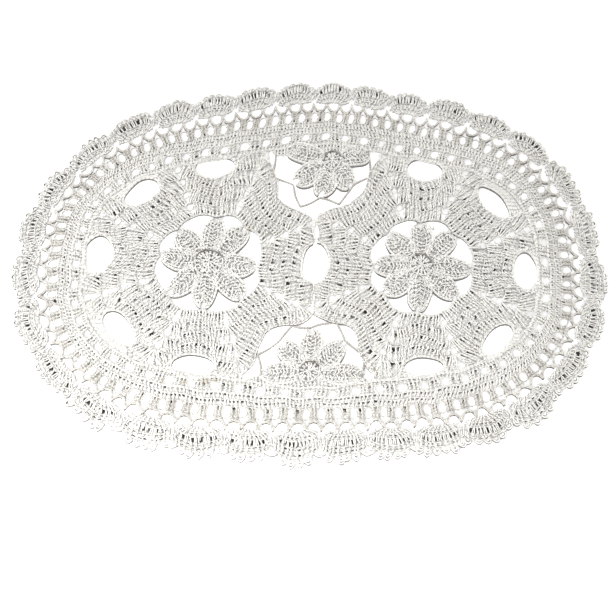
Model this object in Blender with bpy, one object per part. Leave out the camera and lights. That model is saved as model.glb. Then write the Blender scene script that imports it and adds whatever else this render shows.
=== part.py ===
"""An oval crochet runner of cotton thread, lying flat.

Two eight-point star medallions, each with a flower in its middle, are joined side by side.
A half flower in a chain net fills the notch between them on each long side, and a wide border
with a scalloped edge runs round all four. Each is one sheet, worked out as a flat plan of an
outline, its gaps and the lines of its relief, and then given its thickness.
Sizes are in metres, with X along the runner, Y across it and Z up.
"""

import math
from typing import NamedTuple

import bmesh
import bpy
from mathutils import Vector
from mathutils.geometry import delaunay_2d_cdt

# The cloth
THICKNESS = 0.0020
ROW_RIDGE = 0.0004  # how far the head of a row stands above the sheet
ROW_GROOVE = 0.0002
JOIN_GAP = 0.0005  # between two pieces that are joined
KNOT_GAP = 0.0007  # between a star and a knot of the net

# The medallions
MEDALLION_AT = 0.0820  # from the runner's middle
POINTS = 8
EIGHTH = math.tau / POINTS
STAR_ROWS = 4
STAR_TIPS = (0.0985, 0.0927, 0.0985, 0.0985, 0.0985, 0.0985, 0.0985, 0.0927)  # beside each valley
VALLEY_HALVES = (11.5, 22.5, 18.5, 18.5, 18.5, 18.5, 18.5, 22.5)  # degrees
UPPER_JOIN_TIP = 0.0870
CHAIN_REACH = 0.0006  # of the chain ring, beyond a petal's tip
CHAIN_BOW = 0.0042  # further out, between two tips
BOW_FULLNESS = 0.8
CHAIN_HALF = 0.0008
EYELETS = ((0.0500, 0.0029), (0.0630, 0.0026))  # their distance from the centre and their radius
OPENING_RIM = 0.0008
RING_STRIP = 0.0012  # of cloth between an opening and the thread ring
JOIN_SLOTS = ((0.0026, 0.0245, 0.0055), (0.0013, -0.0275, 0.0042))  # how deep, where and how long
FACING = 0.3  # cosine of the angles at which a ray meets the join

# The petals
PETAL_WIDEST = 0.59  # of the way to the tip
PETAL_FULLNESS = 0.44
PETAL_PARTING = 0.0006
PETAL_DOME = 0.0009
EYE_DOME = 0.0004

# The half flowers
CHAIN_WIDTH = 0.0022
FOOT_REACH = 1.22  # repeats of the border
FOOT_HEIGHT = 0.0060

# The thread ring inside the border
RING_HALF_LENGTH = 0.1755
RING_HALF_WIDTH = 0.0927
RING_SQUARENESS = 3.0

# The border's rounds, measured outwards from the thread ring
REPEATS = 32
PITCH_LINE = 0.0287
NET_ROUND = (0.0042, 0.0103)
NET_GAP_AT = 0.78
NET_GAP_WIDTH = 0.0078
BAND_LINES = (0.0128, 0.0158, 0.0188)
WINDOW_ROUND = (0.0207, 0.0293)
WINDOW_WIDTH = 0.0060
WINDOWS = 3  # in each repeat, as many as the arches
ARCH_AT = 0.0350
ARCH_HEIGHT = 0.0068
ARCH_WIDTH = 0.0068
MIDDLE_ARCH_WIDTH = 0.0086
FAN_ARCS = ((0.0420, 0.0378, 0.34), (0.0452, 0.0388, 0.42), (0.0503, 0.0402, 0.468))
FAN_BEND = 0.8
FAN_SHIFT = 0.0040  # how much deeper the last arc lies where the picots are folded under
SCALLOP_NOTCH = 0.0466
NEAR_NOTCH = 0.0480
SCALLOP_TIPS = (0.0612, 0.0588, 0.0594, 0.0608, 0.0582, 0.0588, 0.0594, 0.0611,
                0.0632, 0.0600, 0.0608, 0.0618, 0.0612, 0.0596, 0.0592, 0.0595,
                0.0598, 0.0568, 0.0570, 0.0562, 0.0562, 0.0550, 0.0556, 0.0546,
                0.0543, 0.0554, 0.0552, 0.0566, 0.0543, 0.0552, 0.0568, 0.0578)
SWELL_POWER = 2.4
SWELL_FULLNESS = 0.6
NEAR_SCALLOPS = range(5, 13)
END_EASE = 0.88  # how much narrower the border lies at the ends
CORNER_EASE = 0.05  # and narrower still where it turns
FAR_EASE = 0.05  # how much wider it lies along the far side

# How unevenly the border is worked: repeats along it, and shares or sizes
DRIFT = 0.25
LEAD = 0.06
CREEP = 0.14
CREEP_FROM = 1.8
CREEP_DEPTHS = (0.0108, 0.0207)
DIPS = ((8.0, 0.0050), (24.0, 0.0018))
DIP_REACH = 1.4
STRETCHES = ((1.7, 1.6, 0.06), (6.2, 1.3, -0.045), (13.0, 1.3, -0.055))

# How the runner lies
TOP_BULGE = 0.0095
TOP_BULGE_REACH = 0.0615
BULGE_TOP = 1.2  # times the thread ring's half width, where the bulge stops growing
TOP_LEAN = 0.0030
END_SHIFT = 0.0029
SKEW = 0.028
RIM_CURL = 0.0035
RIM_CURL_FROM = 0.86  # of the way out to the rim
RIM_HALF_LENGTH = 0.2290
RIM_HALF_WIDTH = 0.1530
RIM_SQUARENESS = 2.4
MIDDLE = (-0.0042, 0.0027)  # of the runner's box as it lies, which goes to the origin

SMALLEST = 0.00002
CREASE_CLEARANCE = 0.0009
COTTON = (0.90, 0.88, 0.83, 1.0)
ROUGHNESS = 0.9


class Petal(NamedTuple):
    """Where a petal points, in degrees, how far out its tip is and half its width."""

    angle: float
    tip: float
    half_width: float = 0.0094


class Flower(NamedTuple):
    """A flower's middle, the radius of its eye and its petals in order."""

    centre: tuple
    eye: float
    petals: tuple


class Opening(NamedTuple):
    """An oval opening at one of a star's valleys: its angle in degrees, its distance and its halves."""

    angle: float
    at: float
    half_length: float
    half_width: float


class Star(NamedTuple):
    """A medallion: how its points lean, in degrees, its valleys, its openings and its flower."""

    leans: tuple
    valleys: tuple
    openings: tuple
    flower: Flower


class HalfFlower(NamedTuple):
    """A half flower, its net's knots from left to right and where on the border it stands."""

    flower: Flower
    knots: tuple
    foot_at: float


LEFT = Star(
    leans=(-1.5, -1.3, -2.1, -2.5, -2.8, -2.4, -2.8, -3.0),
    valleys=(0.0727, 0.0726, 0.0735, 0.0738, 0.0728, 0.0732, 0.0739, 0.0726),
    openings=(Opening(0.0, 0.0830, 0.0152, 0.0103), Opening(90.7, 0.0827, 0.0150, 0.0092),
              Opening(132.7, 0.0822, 0.0154, 0.0088), Opening(177.6, 0.0834, 0.0156, 0.0105),
              Opening(220.8, 0.0815, 0.0158, 0.0083), Opening(266.5, 0.0822, 0.0160, 0.0083)),
    flower=Flower((-0.0810, -0.0015), 0.0105, (
        Petal(-137.4, 0.0379), Petal(-93.2, 0.0358), Petal(-44.9, 0.0388), Petal(-5.2, 0.0363),
        Petal(48.0, 0.0394), Petal(85.4, 0.0383), Petal(133.3, 0.0379), Petal(172.7, 0.0372))))
RIGHT = Star(
    leans=(2.3, 3.3, 2.9, 2.3, 1.7, 1.8, -0.8, 0.2),
    valleys=(0.0707, 0.0726, 0.0713, 0.0734, 0.0743, 0.0763, 0.0751, 0.0726),
    openings=(Opening(0.0, 0.0810, 0.0152, 0.0103), Opening(93.2, 0.0804, 0.0152, 0.0091),
              Opening(138.6, 0.0808, 0.0166, 0.0075), Opening(181.0, 0.0835, 0.0150, 0.0092),
              Opening(225.3, 0.0839, 0.0158, 0.0077), Opening(268.4, 0.0815, 0.0146, 0.0068)),
    flower=Flower((-0.0837, 0.0014), 0.0088, (
        Petal(-133.7, 0.0379), Petal(-85.4, 0.0390), Petal(-41.6, 0.0384), Petal(-4.1, 0.0373),
        Petal(41.3, 0.0350), Petal(89.6, 0.0332), Petal(135.0, 0.0362), Petal(184.8, 0.0383))))
NEAR = HalfFlower(
    flower=Flower((-0.0002, -0.0859), 0.0075, (
        Petal(183.0, 0.0360, 0.0085), Petal(137.0, 0.0313, 0.0090), Petal(90.5, 0.0325, 0.0086),
        Petal(41.3, 0.0333, 0.0090), Petal(-4.0, 0.0410, 0.0080))),
    knots=((-0.0390, -0.0738), (-0.0246, -0.0635), (-0.0142, -0.0505), (-0.0004, -0.0522),
           (0.0187, -0.0468), (0.0249, -0.0618), (0.0393, -0.0721)),
    foot_at=7.76)
FAR = HalfFlower(
    flower=Flower((0.0090, 0.0815), 0.0070, (
        Petal(164.2, 0.0367, 0.0085), Petal(211.2, 0.0338, 0.0094), Petal(256.6, 0.0302, 0.0090),
        Petal(308.3, 0.0265, 0.0094), Petal(375.6, 0.0327, 0.0085))),
    knots=((-0.0368, 0.0693), (-0.0211, 0.0618), (-0.0145, 0.0439), (0.0012, 0.0511),
           (0.0169, 0.0469), (0.0265, 0.0618), (0.0417, 0.0717)),
    foot_at=23.74)


def polar(centre, radius, angle):
    """A point at a radius and an angle from a centre."""
    return centre[0] + radius * math.cos(angle), centre[1] + radius * math.sin(angle)


def along(start, end, share):
    """The point a share of the way from start to end."""
    return tuple(a + (b - a) * share for a, b in zip(start, end))


def oval_radius(angle, half_length, half_width, squareness):
    """How far an oval's edge is from its middle at an angle."""
    across = abs(math.cos(angle) / half_length) ** squareness
    up = abs(math.sin(angle) / half_width) ** squareness
    return (across + up) ** (-1.0 / squareness)


# The thread ring and the places along the border

def ring_point(angle, inset=0.0):
    """A point of the thread ring, or of a line a little inside it."""
    radius = oval_radius(angle, RING_HALF_LENGTH - inset, RING_HALF_WIDTH - inset, RING_SQUARENESS)
    return polar((0.0, 0.0), radius, angle)


def ring_normal(angle):
    """The direction straight out of the thread ring."""
    x, y = ring_point(angle)
    power = RING_SQUARENESS - 1.0
    across = math.copysign(abs(x / RING_HALF_LENGTH) ** power / RING_HALF_LENGTH, x)
    up = math.copysign(abs(y / RING_HALF_WIDTH) ** power / RING_HALF_WIDTH, y)
    length = math.hypot(across, up)
    return across / length, up / length


def eased(normal):
    """How wide the border lies where it faces this way."""
    turning = (2.0 * normal[0] * normal[1]) ** 2
    width = END_EASE + (1.0 - END_EASE) * abs(normal[1]) ** 4 - CORNER_EASE * turning
    return width * (1.0 + FAR_EASE * max(0.0, normal[1]))


def out_of_ring(angle, depth):
    """The point of the border at a depth outside the thread ring."""
    point, normal = ring_point(angle), ring_normal(angle)
    reach = depth * eased(normal)
    return point[0] + normal[0] * reach, point[1] + normal[1] * reach


def even_angles(steps):
    """Angles that part the pitch line into equal lengths, clockwise from the right end."""
    fine = [-math.tau * i / 2880 for i in range(2881)]
    line = [out_of_ring(angle, PITCH_LINE) for angle in fine]
    run = [0.0]
    for a, b in zip(line, line[1:]):
        run.append(run[-1] + math.dist(a, b))
    angles, i = [], 0
    for step in range(steps):
        wanted = run[-1] * step / steps
        while run[i + 1] < wanted:
            i += 1
        share = (wanted - run[i]) / (run[i + 1] - run[i])
        angles.append(fine[i] + (fine[i + 1] - fine[i]) * share)
    return angles


PITCH_STEPS = 960
PITCH_ANGLES = even_angles(PITCH_STEPS)


def border_angle(place):
    """The angle on the ring that an even place along the border, in repeats, springs from."""
    place = place / REPEATS * PITCH_STEPS
    whole = math.floor(place)
    before = PITCH_ANGLES[whole % PITCH_STEPS] - math.tau * (whole // PITCH_STEPS)
    after = PITCH_ANGLES[(whole + 1) % PITCH_STEPS] - math.tau * ((whole + 1) // PITCH_STEPS)
    return before + (after - before) * (place - whole)


def apart(repeat, at):
    """How many repeats past a place of the border another place is, the shorter way round."""
    return (repeat - at + REPEATS / 2.0) % REPEATS - REPEATS / 2.0


def border_point(repeat, depth):
    """A point of the border, by repeats along it and depth outside the thread ring."""
    low, high = CREEP_DEPTHS
    creep = LEAD + CREEP * math.cos(2.0 * math.tau / REPEATS * (repeat - CREEP_FROM))
    place = repeat + DRIFT * (1.0 - math.cos(math.tau * repeat / REPEATS))
    dip = sum(amount * max(0.0, 1.0 - (apart(place, at) / DIP_REACH) ** 2) for at, amount in DIPS)
    dip *= max(0.0, 1.0 - depth / high)
    place += creep * max(0.0, min(1.0, (depth - low) / (high - low)))
    for at, reach, more in STRETCHES:
        depth *= 1.0 + more * math.exp(-((apart(repeat, at) / reach) ** 2))
    return out_of_ring(border_angle(place), depth + dip)


PITCH = math.dist(border_point(7.9, PITCH_LINE), border_point(8.1, PITCH_LINE)) * 5.0


# The gaps and lines of the border

def border_gap(repeat, depths, width, corners):
    """A gap in the border, from shares of its width and of its depth."""
    low, high = depths
    return [border_point(repeat + across * width / PITCH, low + (high - low) * up)
            for across, up in corners]


SLOT = ((-0.5, 0.22), (-0.24, 0.0), (0.24, 0.0), (0.5, 0.22),
        (0.5, 0.78), (0.24, 1.0), (-0.24, 1.0), (-0.5, 0.78))
ROUND = tuple((0.5 * math.cos(math.tau * i / 6), 0.5 + 0.5 * math.sin(math.tau * i / 6))
              for i in range(6))
SCALLOP_STEPS = (-1.0, -0.86, -0.6, -0.3, 0.0, 0.3, 0.6, 0.86)
FAN_STEPS = (-0.9, -0.5, 0.0, 0.5, 0.9)


def scallop_depth(k, share):
    """How deep the border is across a scallop, from -1 to 1."""
    notch = NEAR_NOTCH if k in NEAR_SCALLOPS else SCALLOP_NOTCH
    swell = max(0.0, 1.0 - abs(share) ** SWELL_POWER) ** SWELL_FULLNESS
    return notch + (SCALLOP_TIPS[k] - notch) * swell


def border_loops():
    """The border's outline, its inner edge and its gaps."""
    outline = [border_point(k + share / 2.0, scallop_depth(k, share))
               for k in range(REPEATS) for share in SCALLOP_STEPS]
    inner = [border_point(k / 4.0, 0.0) for k in range(REPEATS * 4)]
    arch_depths = (ARCH_AT - ARCH_HEIGHT / 2.0, ARCH_AT + ARCH_HEIGHT / 2.0)
    gaps = []
    for k in range(REPEATS):
        gaps.append(border_gap(k + NET_GAP_AT, NET_ROUND, NET_GAP_WIDTH, SLOT))
        for i in range(WINDOWS):
            width = MIDDLE_ARCH_WIDTH if i == 0 else ARCH_WIDTH
            gaps.append(border_gap(k + i / WINDOWS, arch_depths, width, ROUND))
            gaps.append(border_gap(k + (i + 0.5) / WINDOWS, WINDOW_ROUND, WINDOW_WIDTH, SLOT))
    return [outline, inner] + gaps


def fan_arc(k, top, end, reach):
    """An arc of a scallop's fan, from its depths at its top and ends and its reach in repeats."""
    line = []
    for share in FAN_STEPS:
        rise = math.cos(math.pi / 2.0 * share) ** FAN_BEND
        line.append(border_point(k + reach * math.sin(math.pi / 2.0 * share), end + (top - end) * rise))
    return line


def border_creases():
    """The ridges of the solid band and of the scallops' fans."""
    creases = []
    for depth, rise in zip(BAND_LINES, (-ROW_GROOVE, ROW_RIDGE, -ROW_GROOVE)):
        line = [border_point(k / 2.0, depth) for k in range(REPEATS * 2)]
        creases.append(([*line, line[0]], rise))
    for k in range(REPEATS):
        shift = 0.0 if k in NEAR_SCALLOPS else FAN_SHIFT / 2.0
        for i, (top, end, reach) in enumerate(FAN_ARCS):
            rise = -ROW_GROOVE if i == 1 else ROW_RIDGE
            creases.append((fan_arc(k, top + shift * (i + 1) / len(FAN_ARCS), end, reach), rise))
    return creases


# The star medallions, drawn for the left side

CENTRE = (-MEDALLION_AT, 0.0)
FAR_OFF = 2.0 * RING_HALF_LENGTH


def leant(star, angle):
    """The angle that the hand has turned a star's even plan to at an angle."""
    place = (angle % math.tau) / EIGHTH + 0.5
    before = math.floor(place)
    low, high = star.leans[(before - 1) % POINTS], star.leans[before % POINTS]
    return angle + math.radians(low + (high - low) * (place - before))


def star_edge(star, angle):
    """The star's radius on its even plan: a valley at each eighth of a turn, with tips between."""
    nearest = round(angle / EIGHTH)
    k = nearest % POINTS
    off = angle - nearest * EIGHTH
    share = min(1.0, abs(off) / math.radians(VALLEY_HALVES[k]))
    rise = (1.0 - math.cos(math.pi * share)) / 2.0
    if k == NET_VALLEYS[0] and off < 0.0:
        return star.valleys[k] + (UPPER_JOIN_TIP - star.valleys[k]) * rise ** 2
    return star.valleys[k] + (STAR_TIPS[k] - star.valleys[k]) * rise


def chain_tip(star, petal):
    """The angle and the radius at which the chain ring meets a petal's tip."""
    tip = polar(star.flower.centre, petal.tip + CHAIN_REACH, math.radians(petal.angle))
    return math.atan2(tip[1] - CENTRE[1], tip[0] - CENTRE[0]) % math.tau, math.dist(tip, CENTRE)


def chain_between(first, second, share):
    """The angle and the radius of the chain ring between two petals' tips, where it bows out."""
    angle = first[0] + (second[0] - first[0]) % math.tau * share
    bow = CHAIN_BOW * max(0.0, math.sin(math.pi * share)) ** BOW_FULLNESS
    return angle, first[1] + (second[1] - first[1]) * share + bow


def chain_radius(star, angle):
    """The radius of the chain ring that the star starts from."""
    tips = sorted(chain_tip(star, petal) for petal in star.flower.petals)
    for first, second in zip(tips, tips[1:] + tips[:1]):
        share = (angle - first[0]) % math.tau / ((second[0] - first[0]) % math.tau)
        if share <= 1.0:
            return chain_between(first, second, share)[1]
    return tips[0][1]


def to_ring(angle):
    """How far the thread ring is from the medallion's centre, less the gap of a join."""
    near, far = 0.0, FAR_OFF
    for _ in range(40):
        middle = (near + far) / 2.0
        x, y = polar(CENTRE, middle, angle)
        limit = oval_radius(math.atan2(y, x), RING_HALF_LENGTH - JOIN_GAP,
                            RING_HALF_WIDTH - JOIN_GAP, RING_SQUARENESS)
        near, far = (middle, far) if math.hypot(x, y) < limit else (near, middle)
    return near


def to_join(angle):
    """How far the join between the stars is from the medallion's centre, less its gap and slots."""
    if math.cos(angle) < FACING:
        return FAR_OFF
    height = math.tan(angle) * MEDALLION_AT
    back = sum(deep * math.exp(-(((height - at) / reach) ** 2)) for deep, at, reach in JOIN_SLOTS)
    return (MEDALLION_AT - JOIN_GAP / 2.0 - back) / math.cos(angle)


def to_opening(opening, angle):
    """How far an opening is from the medallion's centre, if it is that way at all."""
    off = angle - math.radians(opening.angle)
    square = (math.sin(off) / opening.half_length) ** 2 + (math.cos(off) / opening.half_width) ** 2
    slope = opening.at * math.cos(off) / opening.half_width ** 2
    rest = slope ** 2 - square * ((opening.at / opening.half_width) ** 2 - 1.0)
    if rest <= 0.0 or math.cos(off) <= 0.0:
        return FAR_OFF
    return (slope - math.sqrt(rest)) / square


def row_end(star, angle):
    """Where the star's rows end at an angle of its even plan, as an angle and a radius."""
    turned = leant(star, angle)
    reach = min(star_edge(star, angle), to_ring(turned), to_join(turned))
    for opening in star.openings:
        reach = min(reach, to_opening(opening, turned) - OPENING_RIM)
    return turned, reach


JOIN_STEPS = (-21.5, -20.0, -18.6, -17.2, -15.5, -10.5, -9.7, -7.5, -4.0, 0.0,
              4.0, 7.5, 9.7, 10.5, 13.0, 15.0, 16.7, 18.4, 20.5)
VALLEY_STEPS = (-22.4, -17.0, -12.5, -8.0, -4.0, 0.0, 4.0, 8.0, 12.5, 17.0, 22.4)
NET_VALLEYS = (1, POINTS - 1)
RING_STEPS = 30
OPENING_STEPS = 12


def medallion_outline(star):
    """The star's outline, round the join, the two valleys that face the net and the thread ring."""
    join = [(angle, min(to_join(angle), to_opening(star.openings[0], angle)))
            for angle in map(math.radians, JOIN_STEPS)]
    first, last = ([row_end(star, k * EIGHTH + math.radians(step)) for step in VALLEY_STEPS]
                   for k in NET_VALLEYS)
    ring = []
    for i in range(RING_STEPS + 1):
        turned = leant(star, (1.5 + (POINTS - 3) * i / RING_STEPS) * EIGHTH)
        ring.append((turned, to_ring(turned)))
    return [polar(CENTRE, reach, turned) for turned, reach in join + first + ring + last]


def opening_loop(opening):
    """The edge of an opening, which leaves a strip of cloth along the thread ring."""
    points = []
    for i in range(OPENING_STEPS):
        turn = math.tau * i / OPENING_STEPS
        out = opening.at + opening.half_width * math.sin(turn)
        aside = opening.half_length * math.cos(turn)
        angle = math.radians(opening.angle) + math.atan2(aside, out)
        points.append(polar(CENTRE, min(math.hypot(aside, out), to_ring(angle) - RING_STRIP), angle))
    return points


SIDE_SHARES = (0.0, 0.25, 0.5, 0.72, 0.88, 0.97)
CHAIN_SHARES = (0.07, 0.22, 0.5, 0.78, 0.93)


def petal_side(flower, petal, side, spread):
    """Points along one side of a petal, from where it leaves its neighbour to near its tip."""
    points, widest = [], PETAL_WIDEST * petal.tip
    for share in SIDE_SHARES:
        reach = widest + (petal.tip - widest) * share
        half = petal.half_width * (1.0 - share ** 2) ** PETAL_FULLNESS
        off = math.atan2(half, reach)
        if off < spread / 2.0 - PETAL_PARTING / reach:
            angle = math.radians(petal.angle) + side * off
            points.append(polar(flower.centre, math.hypot(reach, half), angle))
    return points


def gap_between(flower, first, second, outer):
    """The gap between two petals, closed by the points of an outer thread."""
    spread = math.radians((second.angle - first.angle + 180.0) % 360.0 - 180.0)
    side = math.copysign(1.0, spread)
    return (petal_side(flower, first, side, abs(spread)) + outer
            + petal_side(flower, second, -side, abs(spread))[::-1])


def medallion_loops(star):
    """The star's outline, the gaps round its flower, its closed openings and its larger eyelets."""
    loops = [medallion_outline(star)]
    petals = star.flower.petals
    for first, second in zip(petals, petals[1:] + petals[:1]):
        ends = chain_tip(star, first), chain_tip(star, second)
        outer = [chain_between(*ends, share) for share in CHAIN_SHARES]
        outer = [polar(CENTRE, radius - CHAIN_HALF, angle) for angle, radius in outer]
        loops.append(gap_between(star.flower, first, second, outer))
    loops += [opening_loop(opening) for opening in star.openings[1:]]
    for k in range(POINTS):
        for at, radius in EYELETS:
            eyelet = polar(CENTRE, at, leant(star, (k + 0.5) * EIGHTH))
            loops.append([polar(eyelet, radius, math.tau * i / 6) for i in range(6)])
    return loops


def medallion_creases(star):
    """The heads and troughs of the ripple rows, and the domes of the petals."""
    creases = []
    for half_row in range(1, 2 * STAR_ROWS):
        share = half_row / (2.0 * STAR_ROWS)
        line = []
        for i in range(POINTS * 6):
            turned, reach = row_end(star, i * EIGHTH / 6.0)
            start = chain_radius(star, turned)
            line.append(polar(CENTRE, start + (reach - start) * share, turned))
        rise = ROW_RIDGE if half_row % 2 == 0 else -ROW_GROOVE
        creases.append(([*line, line[0]], rise))
    return creases + petal_creases(star.flower)


MIDLINE_SHARES = (0.7, 1.0, 1.4)  # of the distance to a petal's widest place
GROOVE_SHARES = (0.62, 0.9)
EYE_SHARE = 0.8


def petal_creases(flower):
    """The raised midline of each petal, the groove between two petals and the eye."""
    creases = []
    for petal in flower.petals:
        widest = PETAL_WIDEST * petal.tip
        midline = [polar(flower.centre, widest * share, math.radians(petal.angle))
                   for share in MIDLINE_SHARES]
        creases.append((midline, PETAL_DOME))
    for a, b in zip(flower.petals, flower.petals[1:] + flower.petals[:1]):
        spread = (b.angle - a.angle + 180.0) % 360.0 - 180.0
        if abs(spread) < 90.0:
            widest = PETAL_WIDEST * min(a.tip, b.tip)
            middle = math.radians(a.angle + spread / 2.0)
            groove = [polar(flower.centre, widest * share, middle) for share in GROOVE_SHARES]
            creases.append((groove, -ROW_GROOVE))
    eye = [polar(flower.centre, flower.eye * EYE_SHARE, math.radians(petal.angle))
           for petal in flower.petals]
    creases.append((eye, EYE_DOME))
    return creases


# The half flowers

FOOT_STEPS = 10
CORD_SHARES = (0.15, 0.85)  # of a cord of the net, where a petal's tip leaves it
FOOT_CORD_SHARE = 0.4  # of the cord from a side knot down to the foot


def on_star(knot):
    """A knot of the net, moved to the edge of the star that it is joined to."""
    star, side = (LEFT, 1.0) if knot[0] < 0.0 else (RIGHT, -1.0)
    turned = math.atan2(knot[1] - CENTRE[1], knot[0] * side - CENTRE[0])
    angle = 2.0 * turned - leant(star, turned)
    x, y = polar(CENTRE, row_end(star, angle)[1] + KNOT_GAP, turned)
    return x * side, y


def net_line(half):
    """The net's outer corners: every other one is on a star, and the rest are at petals' tips."""
    line = []
    for i, knot in enumerate(half.knots):
        grow = CHAIN_WIDTH / 2.0 / math.dist(half.flower.centre, knot)
        line.append(along(half.flower.centre, knot, 1.0 + grow) if i % 2 else on_star(knot))
    return line


def foot_line(half, depth):
    """A line along the thread ring under the half flower, from right to left."""
    side = math.copysign(1.0, half.flower.centre[1])
    return [border_point(half.foot_at + side * FOOT_REACH * (1.0 - 2.0 * i / FOOT_STEPS), depth)
            for i in range(FOOT_STEPS + 1)]


def half_flower_loops(half):
    """The outline and the four gaps between the petals and the net."""
    net, foot = net_line(half), foot_line(half, -JOIN_GAP)
    outline = foot + net
    middle = half.flower.centre

    def inward(point):
        """A point on the inner side of the net's cord."""
        return along(point, middle, CHAIN_WIDTH / math.dist(point, middle))

    early, late = CORD_SHARES
    corners = [[along(net[0], foot[-1], FOOT_CORD_SHARE), net[0], along(net[0], net[1], late)]]
    for i in (1, 3):
        corners.append([along(net[i], net[i + 1], early), net[i + 1], along(net[i + 1], net[i + 2], late)])
    corners.append([along(net[5], net[6], early), net[6], along(net[6], foot[0], FOOT_CORD_SHARE)])
    loops, petals = [outline], half.flower.petals
    for first, second, outer in zip(petals, petals[1:], corners):
        outer = [inward(point) for point in outer]
        gap = gap_between(half.flower, first, second, outer)
        loops.append([point for point in gap if point in outer or well_inside(point, outline)])
    return loops


def well_inside(point, outline):
    """Whether a point is within an outline, and not on the cord that runs along it."""
    edges = zip(outline, outline[1:] + outline[:1])
    return inside(point, outline) and all(distance_to(point, a, b) > CHAIN_WIDTH for a, b in edges)


def half_flower_creases(half):
    """The domes of the five petals, and the band that they stand on."""
    return petal_creases(half.flower) + [(foot_line(half, -FOOT_HEIGHT / 2.0), ROW_RIDGE)]


# How the runner lies, and the sheets themselves

def lie(point):
    """Where a point of the even plan lies once the runner is laid down by hand."""
    x, y = point
    middle = math.exp(-((x / TOP_BULGE_REACH) ** 2))
    up = max(0.0, min(BULGE_TOP, y / RING_HALF_WIDTH))
    shift = -END_SHIFT * (x / (2.0 * MEDALLION_AT)) ** 2
    skew = SKEW * x * math.sin(math.pi / 2.0 * min(2.0, abs(y) / RING_HALF_WIDTH))
    return (x + shift + TOP_LEAN * middle * up - MIDDLE[0],
            y + skew + TOP_BULGE * middle * up - MIDDLE[1])


def lift(point):
    """How far the cloth stands off the surface: the far rim curls up a little."""
    x, y = point
    angle = math.atan2(y, x)
    share = math.hypot(x, y) / oval_radius(angle, RIM_HALF_LENGTH, RIM_HALF_WIDTH, RIM_SQUARENESS)
    outer = max(0.0, share - RIM_CURL_FROM) / (1.0 - RIM_CURL_FROM)
    return RIM_CURL * outer ** 2 * max(0.0, math.sin(angle))


def anticlockwise(loop):
    """The loop, turned round if it runs clockwise."""
    area = sum(a[0] * b[1] - b[0] * a[1] for a, b in zip(loop, loop[1:] + loop[:1]))
    return loop if area > 0.0 else loop[::-1]


def distance_to(point, start, end):
    """How far a point is from a straight edge."""
    run = (end[0] - start[0], end[1] - start[1])
    length = run[0] ** 2 + run[1] ** 2
    share = ((point[0] - start[0]) * run[0] + (point[1] - start[1]) * run[1]) / length
    return math.dist(point, along(start, end, max(0.0, min(1.0, share))))


def inside(point, loop):
    """Whether a point is within a loop."""
    within = False
    for a, b in zip(loop, loop[1:] + loop[:1]):
        if (a[1] > point[1]) != (b[1] > point[1]):
            within ^= point[0] < a[0] + (point[1] - a[1]) / (b[1] - a[1]) * (b[0] - a[0])
    return within


def clear_of_gaps(point, loops):
    """Whether a point is on the cloth and no nearer its edges than the crease clearance."""
    for i, loop in enumerate(loops):
        reach = max(math.dist(loop[0], corner) for corner in loop)
        if i and math.dist(point, loop[0]) > 2.0 * reach:
            continue
        if inside(point, loop) != (i == 0):
            return False
        if any(distance_to(point, a, b) < CREASE_CLEARANCE
               for a, b in zip(loop, loop[1:] + loop[:1])):
            return False
    return True


def split_creases(creases, loops):
    """The runs of each crease that stay on the cloth, with their rise."""
    runs = []
    for line, rise in creases:
        run = []
        for i, point in enumerate(line):
            middle = along(line[i - 1], point, 0.5)
            joined = not run or clear_of_gaps(middle, loops)
            clear = clear_of_gaps(point, loops)
            if run and not (clear and joined):
                runs.append((run, rise))
                run = []
            if clear:
                run = run + [point]
        if run:
            runs.append((run, rise))
    return runs


def fill(loops, lines):
    """Triangles, as numbers of the points, that fill the first loop but for the others."""
    points, faces, edges = [], [], []
    for loop in loops:
        faces.append(list(range(len(points), len(points) + len(loop))))
        points += loop
    for line in lines:
        first = len(points)
        closed = len(line) > 2 and math.dist(line[0], line[-1]) < SMALLEST
        points += line[:-1] if closed else line
        edges += [(i, i + 1) for i in range(first, len(points) - 1)]
        if closed:
            edges.append((len(points) - 1, first))
    _, _, triangles, origins, _, owners = delaunay_2d_cdt(
        [Vector(point) for point in points], edges, faces, 1, SMALLEST)
    return points, [[origins[corner][0] for corner in triangle]
                    for triangle, owner in zip(triangles, owners) if owner == [0]]


def sheet(name, loops, creases, material):
    """One piece of the cloth: a plain underside, and a top with its ridges and domes."""
    loops = [anticlockwise(loop) for loop in loops]
    runs = split_creases(creases, loops)
    points, top_faces = fill(loops, [line for line, _ in runs])
    rim = sum(len(loop) for loop in loops)
    _, under_faces = fill(loops, [])
    rises = [0.0] * rim
    for line, rise in runs:
        closed = len(line) > 2 and math.dist(line[0], line[-1]) < SMALLEST
        rises += [rise] * (len(line) - closed)

    mesh = bmesh.new()
    top = [mesh.verts.new((*lie(point), lift(point) + THICKNESS + rise))
           for point, rise in zip(points, rises)]
    under = [mesh.verts.new((*lie(point), lift(point))) for point in points[:rim]]
    for face in top_faces:
        mesh.faces.new([top[i] for i in face])
    for face in under_faces:
        mesh.faces.new([under[i] for i in reversed(face)])
    first = 0
    for loop in loops:
        for i in range(len(loop)):
            a, b = first + i, first + (i + 1) % len(loop)
            mesh.faces.new((under[a], under[b], top[b], top[a]))
        first += len(loop)
    bmesh.ops.triangulate(mesh, faces=[face for face in mesh.faces if len(face.verts) > 3])
    bmesh.ops.recalc_face_normals(mesh, faces=mesh.faces)
    data = bpy.data.meshes.new(name)
    mesh.to_mesh(data)
    mesh.free()
    data.materials.append(material)
    piece = bpy.data.objects.new(name, data)
    bpy.context.collection.objects.link(piece)
    return piece


def placed(name, loops, creases, side, material):
    """A sheet from a plan drawn for the left side of the runner."""
    loops = [[(x * side, y) for x, y in loop] for loop in loops]
    creases = [([(x * side, y) for x, y in line], rise) for line, rise in creases]
    return sheet(name, loops, creases, material)


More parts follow.
